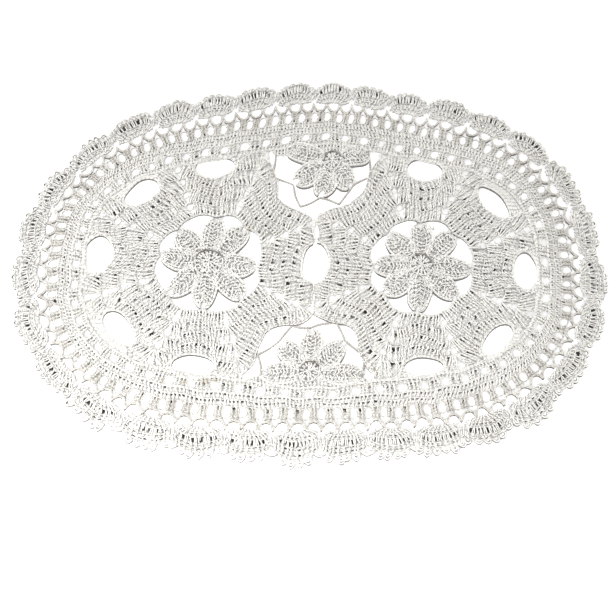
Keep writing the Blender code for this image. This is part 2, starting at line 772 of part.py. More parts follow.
def cotton():
    """Unbleached cotton thread."""
    material = bpy.data.materials.new("cotton")
    material.use_nodes = True
    shader = material.node_tree.nodes["Principled BSDF"]
    shader.inputs["Base Color"].default_value = COTTON
    shader.inputs["Roughness"].default_value = ROUGHNESS
    shader.inputs["Metallic"].default_value = 0.0
    return material


def main():
    """Builds the runner's five pieces."""
    for old in list(bpy.data.objects):
        bpy.data.objects.remove(old)
    material = cotton()
    for name, star, side in (("medallion_left", LEFT, 1.0), ("medallion_right", RIGHT, -1.0)):
        placed(name, medallion_loops(star), medallion_creases(star), side, material)
    for name, half in (("half_flower_bottom", NEAR), ("half_flower_top", FAR)):
        sheet(name, half_flower_loops(half), half_flower_creases(half), material)
    sheet("border", border_loops(), border_creases(), material)


main()
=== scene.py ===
"""Dresses the oval crochet runner in cotton thread, stitch by stitch.

Each piece of the runner is worked in rows on the plan that its solid was made from. A row is a run
of cells between a base line and a head line, and every cell holds one stitch of real strands: two
that twist round each other as its post, two that wrap across them where it is a treble, and one that
links its head to the next. A thin core lies inside each row and stands for the cloth itself; its grey,
near black where the posts part at their roots, is painted shade that shows between the strands. Dark
strands along the near sides of edges are painted shadow. Sizes are in metres, with X along the runner,
Y across it and Z up.
"""

import logging
import math
from dataclasses import dataclass
from enum import Enum

import bpy
import numpy as np
from mathutils import Matrix, Vector


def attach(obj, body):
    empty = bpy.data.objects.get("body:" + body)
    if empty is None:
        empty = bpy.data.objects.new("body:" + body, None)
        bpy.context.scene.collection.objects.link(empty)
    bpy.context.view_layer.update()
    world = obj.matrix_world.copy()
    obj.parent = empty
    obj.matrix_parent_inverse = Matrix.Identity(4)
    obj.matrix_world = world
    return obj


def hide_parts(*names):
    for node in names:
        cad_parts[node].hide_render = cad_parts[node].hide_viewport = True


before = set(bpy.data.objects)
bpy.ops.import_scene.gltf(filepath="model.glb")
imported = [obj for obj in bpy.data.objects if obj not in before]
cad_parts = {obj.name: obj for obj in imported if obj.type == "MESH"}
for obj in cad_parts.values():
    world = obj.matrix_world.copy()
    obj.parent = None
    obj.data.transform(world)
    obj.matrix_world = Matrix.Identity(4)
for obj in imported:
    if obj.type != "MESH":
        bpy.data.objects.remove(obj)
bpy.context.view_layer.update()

Array = np.ndarray
UP = np.array([0.0, 0.0, 1.0])
TAU = math.tau
CORE_TOP = 0.00125
CORE_UNDER = 0.00075
CORE_INSET = 0.02
CORE_ENDS = 0.25
YARN_SHIFT = 0.0007
TILE_ACROSS = (0.04, 0.90)
TILE_UP = (0.02, 0.86)
CAP_AT = (0.25, 0.94)
CAP_RADIUS = 0.03
CAP_APART = 0.4


def unit(vectors: Array) -> Array:
    """Vectors at length one."""
    return vectors / np.maximum(np.linalg.norm(vectors, axis=-1, keepdims=True), 1e-12)


def polar(radius: Array, angle: Array) -> Array:
    """Points at a radius and an angle from the origin."""
    return np.stack([radius * np.cos(angle), radius * np.sin(angle)], axis=-1)


def length_along(line: Array) -> Array:
    """How far along a line each of its points is."""
    return np.concatenate([[0.0], np.cumsum(np.linalg.norm(np.diff(line, axis=0), axis=1))])


def at_lengths(line: Array, lengths: Array) -> Array:
    """Points at given lengths along a line."""
    run = length_along(line)
    return np.stack([np.interp(lengths, run, line[:, axis]) for axis in range(line.shape[1])], axis=-1)


@dataclass(frozen=True)
class Plan:
    """The even plan that the runner is worked to, and how it lies once it is laid down."""

    join_gap: float = 0.0005
    medallion_at: float = 0.0820
    ring_half_length: float = 0.1755
    ring_half_width: float = 0.0927
    ring_squareness: float = 3.0
    repeats: int = 32
    pitch_line: float = 0.0287
    end_ease: float = 0.88
    corner_ease: float = 0.05
    far_ease: float = 0.05
    drift: float = 0.25
    lead: float = 0.06
    creep: float = 0.14
    creep_from: float = 1.8
    creep_depths: tuple[float, float] = (0.0108, 0.0207)
    dips: tuple[tuple[float, float], ...] = ((8.0, 0.0050), (24.0, 0.0018))
    dip_reach: float = 1.4
    stretches: tuple[tuple[float, float, float], ...] = ((1.7, 1.6, 0.06), (6.2, 1.3, -0.045),
                                                         (13.0, 1.3, -0.055))
    top_bulge: float = 0.0095
    top_bulge_reach: float = 0.0615
    bulge_top: float = 1.2
    top_lean: float = 0.0030
    end_shift: float = 0.0029
    skew: float = 0.028
    rim_curl: float = 0.0035
    rim_curl_from: float = 0.86
    rim_half_length: float = 0.2290
    rim_half_width: float = 0.1530
    rim_squareness: float = 2.4
    middle: tuple[float, float] = (-0.0042, 0.0027)
    wander: float = 0.0004
    swell: float = 0.0005

    def oval(self, angle: Array, half_length: float, half_width: float, squareness: float) -> Array:
        """How far an oval's edge is from its middle at an angle."""
        across = np.abs(np.cos(angle) / half_length) ** squareness
        up = np.abs(np.sin(angle) / half_width) ** squareness
        return (across + up) ** (-1.0 / squareness)

    def ring_point(self, angle: Array, inset: float = 0.0) -> Array:
        """Points of the thread ring, or of a line a little inside it."""
        radius = self.oval(angle, self.ring_half_length - inset, self.ring_half_width - inset,
                           self.ring_squareness)
        return polar(radius, angle)

    def out_of_ring(self, angle: Array, depth: Array) -> Array:
        """Points of the border at a depth outside the thread ring.

        Args:
            angle: Where on the ring the points spring from.
            depth: How deep in the border they are, in metres before the border is eased.

        Returns:
            The points on the plan.
        """
        point = self.ring_point(angle)
        half = np.array([self.ring_half_length, self.ring_half_width])
        normal = unit(np.sign(point) * np.abs(point / half) ** (self.ring_squareness - 1.0) / half)
        turning = (2.0 * normal[..., 0] * normal[..., 1]) ** 2
        width = self.end_ease + (1.0 - self.end_ease) * normal[..., 1] ** 4 - self.corner_ease * turning
        width = width * (1.0 + self.far_ease * np.maximum(0.0, normal[..., 1]))
        return point + normal * (depth * width)[..., None]

    def pitch_angles(self) -> tuple[Array, Array]:
        """Places along the border, in repeats, and the angles that they spring from."""
        fine = -np.linspace(0.0, TAU, 2881)
        run = length_along(self.out_of_ring(fine, np.full(len(fine), self.pitch_line)))
        return run / run[-1] * self.repeats, fine

    def apart(self, repeat: Array, at: float) -> Array:
        """How many repeats past a place of the border other places are, the shorter way round."""
        return (repeat - at + self.repeats / 2.0) % self.repeats - self.repeats / 2.0

    def border(self, repeat: Array, depth: Array) -> Array:
        """Points of the border.

        Args:
            repeat: How far along the border they are, in repeats, clockwise from the right end.
            depth: How deep in the border they are.

        Returns:
            The points on the plan.
        """
        repeat, depth = np.broadcast_arrays(np.asarray(repeat, float), np.asarray(depth, float))
        places, angles = PITCH_TABLE
        turn = TAU / self.repeats
        low, high = self.creep_depths
        creep = self.lead + self.creep * np.cos(2.0 * turn * (repeat - self.creep_from))
        place = repeat + self.drift * (1.0 - np.cos(turn * repeat))
        rest = np.maximum(0.0, 1.0 - depth / high)
        dip = sum(amount * np.maximum(0.0, 1.0 - (self.apart(place, at) / self.dip_reach) ** 2)
                  for at, amount in self.dips)
        place = place + creep * np.clip((depth - low) / (high - low), 0.0, 1.0)
        for at, reach, more in self.stretches:
            depth = depth * (1.0 + more * np.exp(-((self.apart(repeat, at) / reach) ** 2)))
        depth = depth + dip * rest
        turns = np.floor(place / self.repeats)
        angle = np.interp(place - turns * self.repeats, places, angles) - TAU * turns
        return self.out_of_ring(angle, depth)

    def place(self, points: Array) -> Array:
        """Where points of the plan, with their heights in the cloth, lie in the row frame.

        Args:
            points: Points of the plan, and their heights above the underside of the cloth.

        Returns:
            The points where the cloth lies.
        """
        x, y, height = points[..., 0], points[..., 1], points[..., 2]
        x = x + self.wander * (np.sin(310.0 * y + 1.3) + np.sin(170.0 * y - 90.0 * x))
        y = y + self.wander * (np.sin(260.0 * x + 0.4) + np.sin(190.0 * x + 120.0 * y))
        angle = np.arctan2(y, x)
        rim = self.oval(angle, self.rim_half_length, self.rim_half_width, self.rim_squareness)
        outer = np.maximum(0.0, np.hypot(x, y) / rim - self.rim_curl_from) / (1.0 - self.rim_curl_from)
        lift = self.rim_curl * outer ** 2 * np.maximum(0.0, np.sin(angle))
        lift = lift + self.swell * (1.0 + np.sin(75.0 * x + 1.0) * np.sin(88.0 * y + 35.0 * x))
        middle = np.exp(-((x / self.top_bulge_reach) ** 2))
        up = np.clip(y / self.ring_half_width, 0.0, self.bulge_top)
        shift = -self.end_shift * (x / (2.0 * self.medallion_at)) ** 2
        bend = np.sin(math.pi / 2.0 * np.minimum(2.0, np.abs(y) / self.ring_half_width))
        return np.stack([x + shift + self.top_lean * middle * up - self.middle[0],
                         y + self.skew * x * bend + self.top_bulge * middle * up - self.middle[1],
                         height + lift], axis=-1)


PLAN = Plan()
PITCH_TABLE = PLAN.pitch_angles()
PITCH = float(np.linalg.norm(np.diff(PLAN.border(np.array([7.9, 8.1]), PLAN.pitch_line), axis=0))) * 5.0


class Stitch(Enum):
    """The stitches that the runner is worked in, by how many steps their posts take."""

    DOUBLE_CROCHET = 5
    TREBLE = 6


class Shade(Enum):
    """How deep the shade between a row's posts is, at their roots and at their heads."""

    EVEN = (0.5, 1.0)
    ROOTS = (0.0, 1.0)
    SLITS = (-0.30, 0.55)


@dataclass(frozen=True)
class Thread:
    """The cotton thread, and how it lies in a stitch."""

    radius: float = 0.00055
    post_radius: float = 0.00064
    post_pitch: float = 0.0029
    root: float = 0.00034
    crown: float = 0.00078
    coil: float = 0.00040
    post_height: float = 0.00115
    root_rise: float = 0.00055
    head_height: float = 0.00110
    head_rise: float = 0.00040
    head_spread: float = 0.00050
    link_length: float = 0.0034
    wrap_places: tuple[float, ...] = (0.38, 0.70)
    wrap_reach: float = 0.0017
    wrap_slant: float = 0.0009
    wrap_rise: float = 0.00085
    wrap_shift: float = 0.06
    overlap: float = 0.0006
    least_cell: tuple[float, float] = (0.0012, 0.0015)
    sway: float = 0.15
    turned: float = 0.24
    slip: float = 0.00032
    loft: float = 0.00016
    link_fullness: float = 1.05
    link_slip: float = 0.05
    link_bow: float = 0.25
    chain_slip: float = 0.04
    sides: int = 4


@dataclass(frozen=True)
class Row:
    """A row of cells, one for each stitch, given by the points where their edges meet its two lines."""

    base: Array
    head: Array

    def inside(self, across: Array, up: Array) -> Array:
        """Points in every cell.

        Args:
            across: Shares of each cell's width, for each cell and point.
            up: Shares of its height.

        Returns:
            The points on the plan, for each cell and point.
        """
        low = self.base[:-1, None] + np.diff(self.base, axis=0)[:, None] * across[..., None]
        high = self.head[:-1, None] + np.diff(self.head, axis=0)[:, None] * across[..., None]
        return low + (high - low) * up[..., None]

    def sizes(self) -> tuple[Array, Array]:
        """The width and the height of each cell."""
        width = 0.5 * (np.linalg.norm(np.diff(self.base, axis=0), axis=1)
                       + np.linalg.norm(np.diff(self.head, axis=0), axis=1))
        tall = np.linalg.norm(self.head - self.base, axis=1)
        return width, 0.5 * (tall[:-1] + tall[1:])


def border_row(edges: Array, low: float, high: float) -> Row:
    """The cells of a row of the border between two depths, parted at places given in repeats."""
    return Row(PLAN.border(edges, low), PLAN.border(edges, high))


class Skein:
    """The strands laid for one piece, which become one mesh of thread."""

    def __init__(self, name: str, thread: Thread, seed: int,
                 flip: tuple[float, float] = (1.0, 1.0)) -> None:
        """Starts with no strands.

        Args:
            name: The piece's name.
            thread: The thread that it is worked in.
            seed: What the unevenness of the hand starts from.
            flip: Signs that change the plan's sides over.
        """
        self.name = name
        self.thread = thread
        self.hand = np.random.default_rng(seed)
        self.flip = np.array([*flip, 1.0])
        self.batches: list[tuple[Array, float]] = []
        self.cores: list[tuple[Array, Shade]] = []

    def edge(self, line: Array, height: float = 0.0006, drop: float = 0.0007,
             step: float = 0.0030) -> None:
        """Lays a near-black strand of painted shadow low along the near side of a line of the plan.

        Args:
            line: The points that it follows.
            height: How high it lies.
            drop: How far to the near side of the line it lies.
            step: How far apart its points are.
        """
        total = length_along(line)[-1]
        points = at_lengths(line, np.linspace(0.0, total, max(3, round(total / step) + 1)))
        points = points * self.flip[:2] - np.array([0.0, drop])
        self.lay(np.column_stack([points * self.flip[:2], np.full(len(points), height)])[None],
                 self.thread.radius)

    def lay(self, runs: Array, radius: float | None = None) -> None:
        """Lays strands of one length and thickness, given as runs of points on the plan."""
        self.batches.append((runs * self.flip, radius or self.thread.radius))

    def lay_in(self, row: Row, across: Array, up: Array, height: Array,
               radius: float | None = None) -> None:
        """Lays a strand in every cell of a row, given by its shares of the cell and its heights."""
        self.lay(np.concatenate([row.inside(across, up), height[..., None]], axis=-1), radius)

    def work(self, row: Row, stitch: Stitch, rise: float = 0.0, heads: bool = True, full: float = 1.0,
             lean: float = 0.0, wide: float = 1.0, loose: float = 1.0, shade: Shade = Shade.ROOTS,
             twist: float | None = None) -> None:
        """Works a row of stitches.

        Args:
            row: The cells that the stitches fill.
            stitch: Which stitch it is.
            rise: How far the row stands above its neighbours.
            heads: Whether the links at the stitches' heads show.
            full: A factor for how thick the posts are.
            lean: How far the posts lean, as a share of a stitch.
            wide: A factor for how far a post's strands spread.
            loose: A factor for how unevenly the stitches lie.
            shade: How deep the shade between the posts is.
            twist: How many turns a post's strands take round each other.
        """
        thread = self.thread
        width, tall = row.sizes()
        count = len(width)
        width = np.maximum(width, thread.least_cell[0])[:, None]
        tall = np.maximum(tall, thread.least_cell[1])[:, None]
        sway = lean + self.hand.normal(0.0, thread.sway, (count, 1)) * loose
        start = self.hand.normal(0.0, thread.turned, (count, 1)) * loose
        slip = self.hand.normal(0.0, thread.slip, (count, 2)) * loose
        loft = rise + self.hand.normal(0.0, thread.loft, (count, 1))
        step = np.linspace(0.0, 1.0, stitch.value)[None]
        spread = thread.root + (thread.crown - thread.root) * step ** (0.05 if twist else 0.6)
        spread = wide * spread * np.minimum(width / thread.post_pitch, 1.25)
        turns = twist or (1.0 if stitch is Stitch.DOUBLE_CROCHET else 1.5)
        for half in (0.0, 0.5):
            phase = TAU * (half + start + turns * (step - 0.5))
            beside = np.sign(np.cos(phase)) * np.abs(np.cos(phase)) ** 0.5
            across = 0.5 + sway * (step - 0.5) + (slip[:, :1] + spread * beside) / width
            up = (slip[:, 1:] - thread.overlap) / tall + (1.0 + thread.overlap / tall) * step
            height = (thread.post_height + loft + thread.coil * np.sin(phase)
                      + thread.root_rise * (1.0 - step) ** 3)
            self.lay_in(row, across, up, height, thread.post_radius * full)
        if stitch is Stitch.TREBLE:
            wrap = np.linspace(-1.0, 1.0, 3)[None]
            reach = thread.wrap_reach * np.minimum(width / thread.post_pitch, 1.15)
            for place in thread.wrap_places:
                across = 0.5 + (slip[:, :1] + reach * wrap) / width
                slant = thread.wrap_slant * self.hand.normal(1.0, 0.5, (count, 1))
                up = place + self.hand.normal(0.0, thread.wrap_shift, (count, 1)) + slant / tall * wrap
                height = thread.post_height + loft + thread.wrap_rise * np.sqrt(1.05 - wrap ** 2)
                self.lay_in(row, across, up, height, thread.radius * full)
        if heads:
            self.link(row, loft)
        self.core(row, shade)

    def link(self, row: Row, loft: Array) -> None:
        """Lays the strand that passes from each stitch's head to the next."""
        width, tall = row.sizes()
        across = np.array([[-0.12, 0.28, 0.72, 1.12]])
        across = across + self.hand.normal(0.0, self.thread.link_slip, (len(width), 1))
        climb = np.array([[-0.8, 0.7, 1.0, -0.4]])
        bow = np.array([[-0.7, 0.6, 0.4, -0.7]])
        bow = bow + self.hand.normal(0.0, self.thread.link_bow, (len(width), 1))
        up = 1.0 + self.thread.head_spread * bow / np.maximum(tall, self.thread.least_cell[1])[:, None]
        height = self.thread.head_height + loft + self.thread.head_rise * climb + 0.0 * across
        self.lay_in(row, across, up, height, self.thread.radius * self.thread.link_fullness)

    def chain(self, line: Array, height: float, link: float | None = None) -> None:
        """Lays a chain of links along a line of the plan.

        Args:
            line: The points that it follows.
            height: How high its middle lies.
            link: How long a link is.
        """
        total = length_along(line)[-1]
        count = max(1, round(total / (link or self.thread.link_length)))
        edges = at_lengths(line, np.linspace(0.0, total, count + 1))
        beside = unit(np.gradient(edges, axis=0))[:, ::-1] * np.array([-1.0, 1.0])
        row = Row(edges - beside * self.thread.head_spread, edges)
        along = np.array([[-0.22, 0.20, 0.68, 1.04]])
        bow = np.array([[0.15, 1.0, 0.95, 0.1]])
        climb = np.array([[-0.5, 0.3, 0.75, -0.1]])
        for side in (-1.0, 1.0):
            across = along + self.hand.normal(0.0, self.thread.chain_slip, (count, 1))
            tall = height + self.thread.head_rise * climb + 0.0 * across
            self.lay_in(row, across, 1.0 + side * bow + 0.0 * across, tall)

    def cord(self, points: Array, radius: float, steps: int = 8, turns: float = 2.0) -> None:
        """Lays two strands that twist round each other along a short line with heights."""
        share = np.linspace(0.0, 1.0, len(points))
        step = np.linspace(0.0, 1.0, steps)
        line = np.stack([np.interp(step, share, points[:, axis]) for axis in range(3)], axis=-1)
        ahead = unit(np.gradient(line, axis=0))
        side = unit(np.cross(ahead, UP))
        for half in (0.0, 0.5):
            phase = TAU * (half + turns * step)[:, None]
            twist = side * np.cos(phase) + np.cross(side, ahead) * np.sin(phase)
            self.lay((line + twist * radius * 0.8)[None], radius)

    def hoop(self, centre: Array, along: Array, half: tuple[float, float], height: float = 0.0014) -> None:
        """Lays a strand round an oval gap.

        Args:
            centre: The gap's middle on the plan.
            along: The direction of its first half size.
            half: Half its sizes.
            height: How high the strand lies.
        """
        turn = np.linspace(0.0, TAU, 10)
        along = along / np.linalg.norm(along)
        beside = np.array([-along[1], along[0]])
        line = centre + half[0] * np.cos(turn)[:, None] * along + half[1] * np.sin(turn)[:, None] * beside
        self.lay(np.column_stack([line, np.full(len(turn), height)])[None])

    def core(self, row: Row, shade: Shade) -> None:
        """Lays the core of a row, a thin band inside its stitches whose colour is painted shade."""
        base, head = row.base.copy(), row.head.copy()
        for line in (base, head):
            line[0] += (line[1] - line[0]) * CORE_ENDS
            line[-1] += (line[-2] - line[-1]) * CORE_ENDS
        inset = (head - base) * CORE_INSET
        self.cores.append((np.stack([base + inset, head - inset], axis=1) * self.flip[:2], shade))

    def rings(self, runs: Array, radius: float) -> Array:
        """Rings of points round strands, turned as little as can be along them.

        Args:
            runs: The strands' points in the row frame.
            radius: The strands' radius.

        Returns:
            The points, for each strand, step and side.
        """
        ahead = unit(np.gradient(runs, axis=1))
        side = unit(np.cross(ahead[:, 0], UP) + 1e-6)
        turns = TAU * (np.arange(self.thread.sides) + 0.5) / self.thread.sides
        rings = np.empty((*runs.shape[:2], self.thread.sides, 3))
        for i in range(runs.shape[1]):
            side = unit(side - (side * ahead[:, i]).sum(-1, keepdims=True) * ahead[:, i])
            over = np.cross(side, ahead[:, i])
            rings[:, i] = runs[:, i, None] + radius * (side[:, None] * np.cos(turns)[:, None]
                                                       + over[:, None] * np.sin(turns)[:, None])
        return rings

    def build(self) -> bpy.types.Object:
        """The mesh of all the strands."""
        sides = self.thread.sides
        total = sum(len(runs) for runs, _ in self.batches)
        grid = math.ceil(math.sqrt(total))
        points, quads, caps, yarn, atlas, cap_yarn, cap_atlas = [], [], [], [], [], [], []
        first, strand = 0, 0
        for runs, radius in self.batches:
            placed = PLAN.place(runs)
            count, steps = placed.shape[:2]
            points.append(self.rings(placed, radius).reshape(-1, 3))
            corner = first + (np.arange(count)[:, None, None] * steps
                              + np.arange(steps - 1)[None, :, None]) * sides
            here = np.arange(sides)[None, None]
            beside = (here + 1) % sides
            quads.append(np.stack([corner + here, corner + beside, corner + sides + beside,
                                   corner + sides + here], axis=-1).reshape(-1, 4))
            begin = first + np.arange(count)[:, None] * steps * sides
            ends = begin + (steps - 1) * sides
            ring = np.arange(sides)[None]
            caps.append(np.stack([begin + ring[:, ::-1], ends + ring], axis=1).reshape(-1, sides))
            run = np.cumsum(np.linalg.norm(np.diff(placed, axis=1), axis=-1), axis=1)
            run = np.concatenate([np.zeros((count, 1)), run], axis=1) + YARN_SHIFT * np.arange(count)[:, None]
            a = np.broadcast_to(here / sides, (count, steps - 1, sides))
            b = a + 1.0 / sides
            low = np.broadcast_to(run[:, :-1, None], a.shape)
            high = np.broadcast_to(run[:, 1:, None], a.shape)
            yarn.append(np.stack([a, low, b, low, b, high, a, high], axis=-1).reshape(-1, 2))
            cell = strand + np.arange(count)
            left, bottom = (cell % grid)[:, None, None] / grid, (cell // grid)[:, None, None] / grid
            share = np.arange(steps)[None, :, None] / (steps - 1) * TILE_UP[1] + TILE_UP[0]
            a, b = (left + (side * TILE_ACROSS[1] + TILE_ACROSS[0]) / grid for side in (a, b))
            low = bottom + share[:, :-1] / grid + 0.0 * a
            high = bottom + share[:, 1:] / grid + 0.0 * a
            atlas.append(np.stack([a, low, b, low, b, high, a, high], axis=-1).reshape(-1, 2))
            turn = TAU * np.arange(sides) / sides
            dot = np.stack([CAP_AT[0] + CAP_RADIUS * np.cos(turn), CAP_AT[1] + CAP_RADIUS * np.sin(turn)],
                           axis=-1) / grid
            corner = np.stack([left[:, 0], bottom[:, 0]], axis=-1)
            apart = np.array([[[0.0, 0.0]], [[CAP_APART, 0.0]]])[None] / grid
            cap_atlas.append((corner[:, None] + dot[None, None] + apart).reshape(-1, 2))
            cap_yarn.append(np.full((count * 2 * sides, 2), 0.0) + np.array([0.5, 0.0]))
            first += count * steps * sides
            strand += count
        quads, caps = np.concatenate(quads), np.concatenate(caps)
        corners = np.concatenate([quads.ravel(), caps.ravel()])
        starts = np.concatenate([np.arange(len(quads)) * 4, len(quads) * 4 + np.arange(len(caps)) * sides])
        maps = {"yarn": np.concatenate(yarn + cap_yarn), "OFBake": np.concatenate(atlas + cap_atlas)}
        return make_object(self.name, np.concatenate(points), corners, starts, maps)

    def build_core(self) -> bpy.types.Object:
        """The mesh of the cores, each a closed band, whose cell map sets where their painted shade deepens.
        """
        points, quads, cells, first = [], [], [], 0
        for band, shade in self.cores:
            count = len(band)
            root, head = shade.value
            layers = [np.concatenate([band, np.full((count, 2, 1), height)], axis=-1)
                      for height in (CORE_TOP, CORE_UNDER)]
            ring = np.stack([layers[0][:, 0], layers[0][:, 1], layers[1][:, 1], layers[1][:, 0]], axis=1)
            points.append(PLAN.place(ring).reshape(-1, 3))
            here = first + np.arange(count - 1)[:, None] * 4 + np.arange(4)[None]
            beside = first + np.arange(count - 1)[:, None] * 4 + (np.arange(4)[None] + 1) % 4
            quads.append(np.stack([here, beside, beside + 4, here + 4], axis=-1).reshape(-1, 4))
            last = first + (count - 1) * 4
            quads.append(np.array([[first + 3, first + 2, first + 1, first],
                                   [last, last + 1, last + 2, last + 3]]))
            places = np.arange(count)[:, None]
            shares = np.broadcast_to(np.array([[root, head, head, root]]), (count, 4))
            cells.append(np.stack([np.broadcast_to(places, (count, 4)), shares], axis=-1).reshape(-1, 2))
            first += count * 4
        corners = np.concatenate(quads)
        starts = np.arange(len(corners)) * 4
        maps = {"cell": np.concatenate(cells)[corners.ravel()]}
        return make_object(f"{self.name}_core", np.concatenate(points), corners.ravel(), starts, maps)


def make_object(name: str, points: Array, corners: Array, starts: Array,
                maps: dict[str, Array]) -> bpy.types.Object:
    """An object from its points, its faces' corners, where each face starts and its UV maps."""
    mesh = bpy.data.meshes.new(name)
    mesh.vertices.add(len(points))
    mesh.vertices.foreach_set("co", points.astype(np.float32).ravel())
    mesh.loops.add(len(corners))
    mesh.loops.foreach_set("vertex_index", corners.astype(np.int32))
    mesh.polygons.add(len(starts))
    mesh.polygons.foreach_set("loop_start", starts.astype(np.int32))
    mesh.update(calc_edges=True)
    for label, values in maps.items():
        mesh.uv_layers.new(name=label).uv.foreach_set("vector", values.astype(np.float32).ravel())
    mesh.validate()
    mesh.shade_smooth()
    made = bpy.data.objects.new(name, mesh)
    bpy.context.collection.objects.link(made)
    return made


def feed(tree: bpy.types.NodeTree, node: bpy.types.Node, values: dict) -> None:
    """Gives a node's inputs their values, or the outputs that feed them."""
    for socket, value in values.items():
        if isinstance(value, bpy.types.NodeSocket):
            tree.links.new(value, node.inputs[socket])
        else:
            node.inputs[socket].default_value = value


def add_node(tree: bpy.types.NodeTree, kind: str, values: dict | None = None,
             **settings: object) -> bpy.types.Node:
    """Adds a node to a material or a group.

    Args:
        tree: The nodes that it joins.
        kind: Which node it is, without the word that each shader node's type begins with.
        values: What each of its inputs holds, a value or the output that feeds it.
        settings: The node's own settings.

    Returns:
        The node.
    """
    node = tree.nodes.new(f"ShaderNode{kind}")
    for label, setting in settings.items():
        setattr(node, label, setting)
    feed(tree, node, values or {})
    return node


def remap(tree: bpy.types.NodeTree, value: bpy.types.NodeSocket, span: tuple[float, float],
          low: float = 0.0, high: float = 1.0, **settings: object) -> bpy.types.NodeSocket:
    """A value brought from one span to another."""
    return add_node(tree, "MapRange", {"Value": value, "From Min": span[0], "From Max": span[1],
                                       "To Min": low, "To Max": high}, **settings).outputs["Result"]


def combine(tree: bpy.types.NodeTree, operation: str,
            *values: bpy.types.NodeSocket | float) -> bpy.types.NodeSocket:
    """The output of a Math node on one or two values."""
    return add_node(tree, "Math", dict(enumerate(values)), operation=operation).outputs["Value"]


def object_place(tree: bpy.types.NodeTree) -> bpy.types.NodeSocket:
    """Where a point of the surface is on the object."""
    return add_node(tree, "TexCoord").outputs["Object"]


@dataclass(frozen=True)
class ThreadEffects:
    """The shader node groups that more than one finish uses."""

    tone_scale: float = 28.0
    tone_detail: float = 5.0
    tone_span: tuple[float, float] = (0.38, 0.72)
    fibre_detail: float = 3.0
    fibre_distortion: float = 1.2
    mark_height: float = 0.002
    mark_heart: float = 0.3
    mark_places: tuple[tuple[float, float, float, float], ...] = (
        (-0.0718, -0.0985, 0.0040, 0.55), (-0.0472, 0.0242, 0.0026, 0.60),
        (-0.0505, 0.0275, 0.0026, 0.55), (0.0100, 0.0355, 0.0026, 0.50),
        (0.0129, 0.0469, 0.0026, 0.50), (-0.1358, 0.0937, 0.0030, 0.50),
        (-0.1030, -0.0988, 0.0034, 0.45), (-0.0880, -0.0998, 0.0034, 0.50),
        (-0.0747, -0.0994, 0.0034, 0.45), (-0.0659, -0.0975, 0.0034, 0.50),
        (0.0550, -0.1534, 0.0034, 0.45))

    def group(self, name: str, given: dict[str, str],
              gives: dict[str, str]) -> tuple[bpy.types.NodeTree, bpy.types.Node, bpy.types.Node]:
        """Makes a group with named sockets.

        Args:
            name: The group's name.
            given: The kind of each of its inputs.
            gives: The kind of each of its outputs.

        Returns:
            The group, and the nodes that hold its inputs and its outputs.
        """
        tree = bpy.data.node_groups.new(name, "ShaderNodeTree")
        for way, sockets in (("INPUT", given), ("OUTPUT", gives)):
            for label, kind in sockets.items():
                tree.interface.new_socket(label, in_out=way, socket_type=f"NodeSocket{kind}")
        return tree, tree.nodes.new("NodeGroupInput"), tree.nodes.new("NodeGroupOutput")

    def tone(self) -> bpy.types.NodeTree:
        """A group that varies a colour as hand-washed cotton does."""
        tree, given, out = self.group("cotton tone", {"Color": "Color", "Aged": "Color", "Amount": "Float"},
                                      {"Color": "Color"})
        broad = add_node(tree, "TexNoise", {"Vector": object_place(tree), "Scale": self.tone_scale,
                                            "Detail": self.tone_detail})
        share = combine(tree, "MULTIPLY", remap(tree, broad.outputs["Fac"], self.tone_span),
                        given.outputs["Amount"])
        mix = add_node(tree, "Mix", {"Factor": share, "A": given.outputs["Color"],
                                     "B": given.outputs["Aged"]}, data_type="RGBA")
        feed(tree, out, {"Color": mix.outputs["Result"]})
        return tree

    def fibre(self) -> bpy.types.NodeTree:
        """A group that gives the height of loose fibres."""
        tree, given, out = self.group("loose fibre", {"Scale": "Float"}, {"Height": "Float"})
        fuzz = add_node(tree, "TexNoise", {"Vector": object_place(tree), "Scale": given.outputs["Scale"],
                                           "Detail": self.fibre_detail, "Distortion": self.fibre_distortion})
        feed(tree, out, {"Height": fuzz.outputs["Fac"]})
        return tree

    def marks(self) -> bpy.types.NodeTree:
        """A group that masks the faint marks that use has left."""
        tree, _, out = self.group("faint marks", {}, {"Mask": "Float"})
        place, spots = object_place(tree), []
        for x, y, reach, strength in self.mark_places:
            apart = add_node(tree, "VectorMath", {0: place, 1: (x, y, self.mark_height)},
                             operation="DISTANCE")
            spots.append(remap(tree, apart.outputs["Value"], (reach, reach * self.mark_heart),
                               high=strength, interpolation_type="SMOOTHSTEP"))
        most = spots[0]
        for spot in spots[1:]:
            most = combine(tree, "MAXIMUM", most, spot)
        feed(tree, out, {"Mask": most})
        return tree


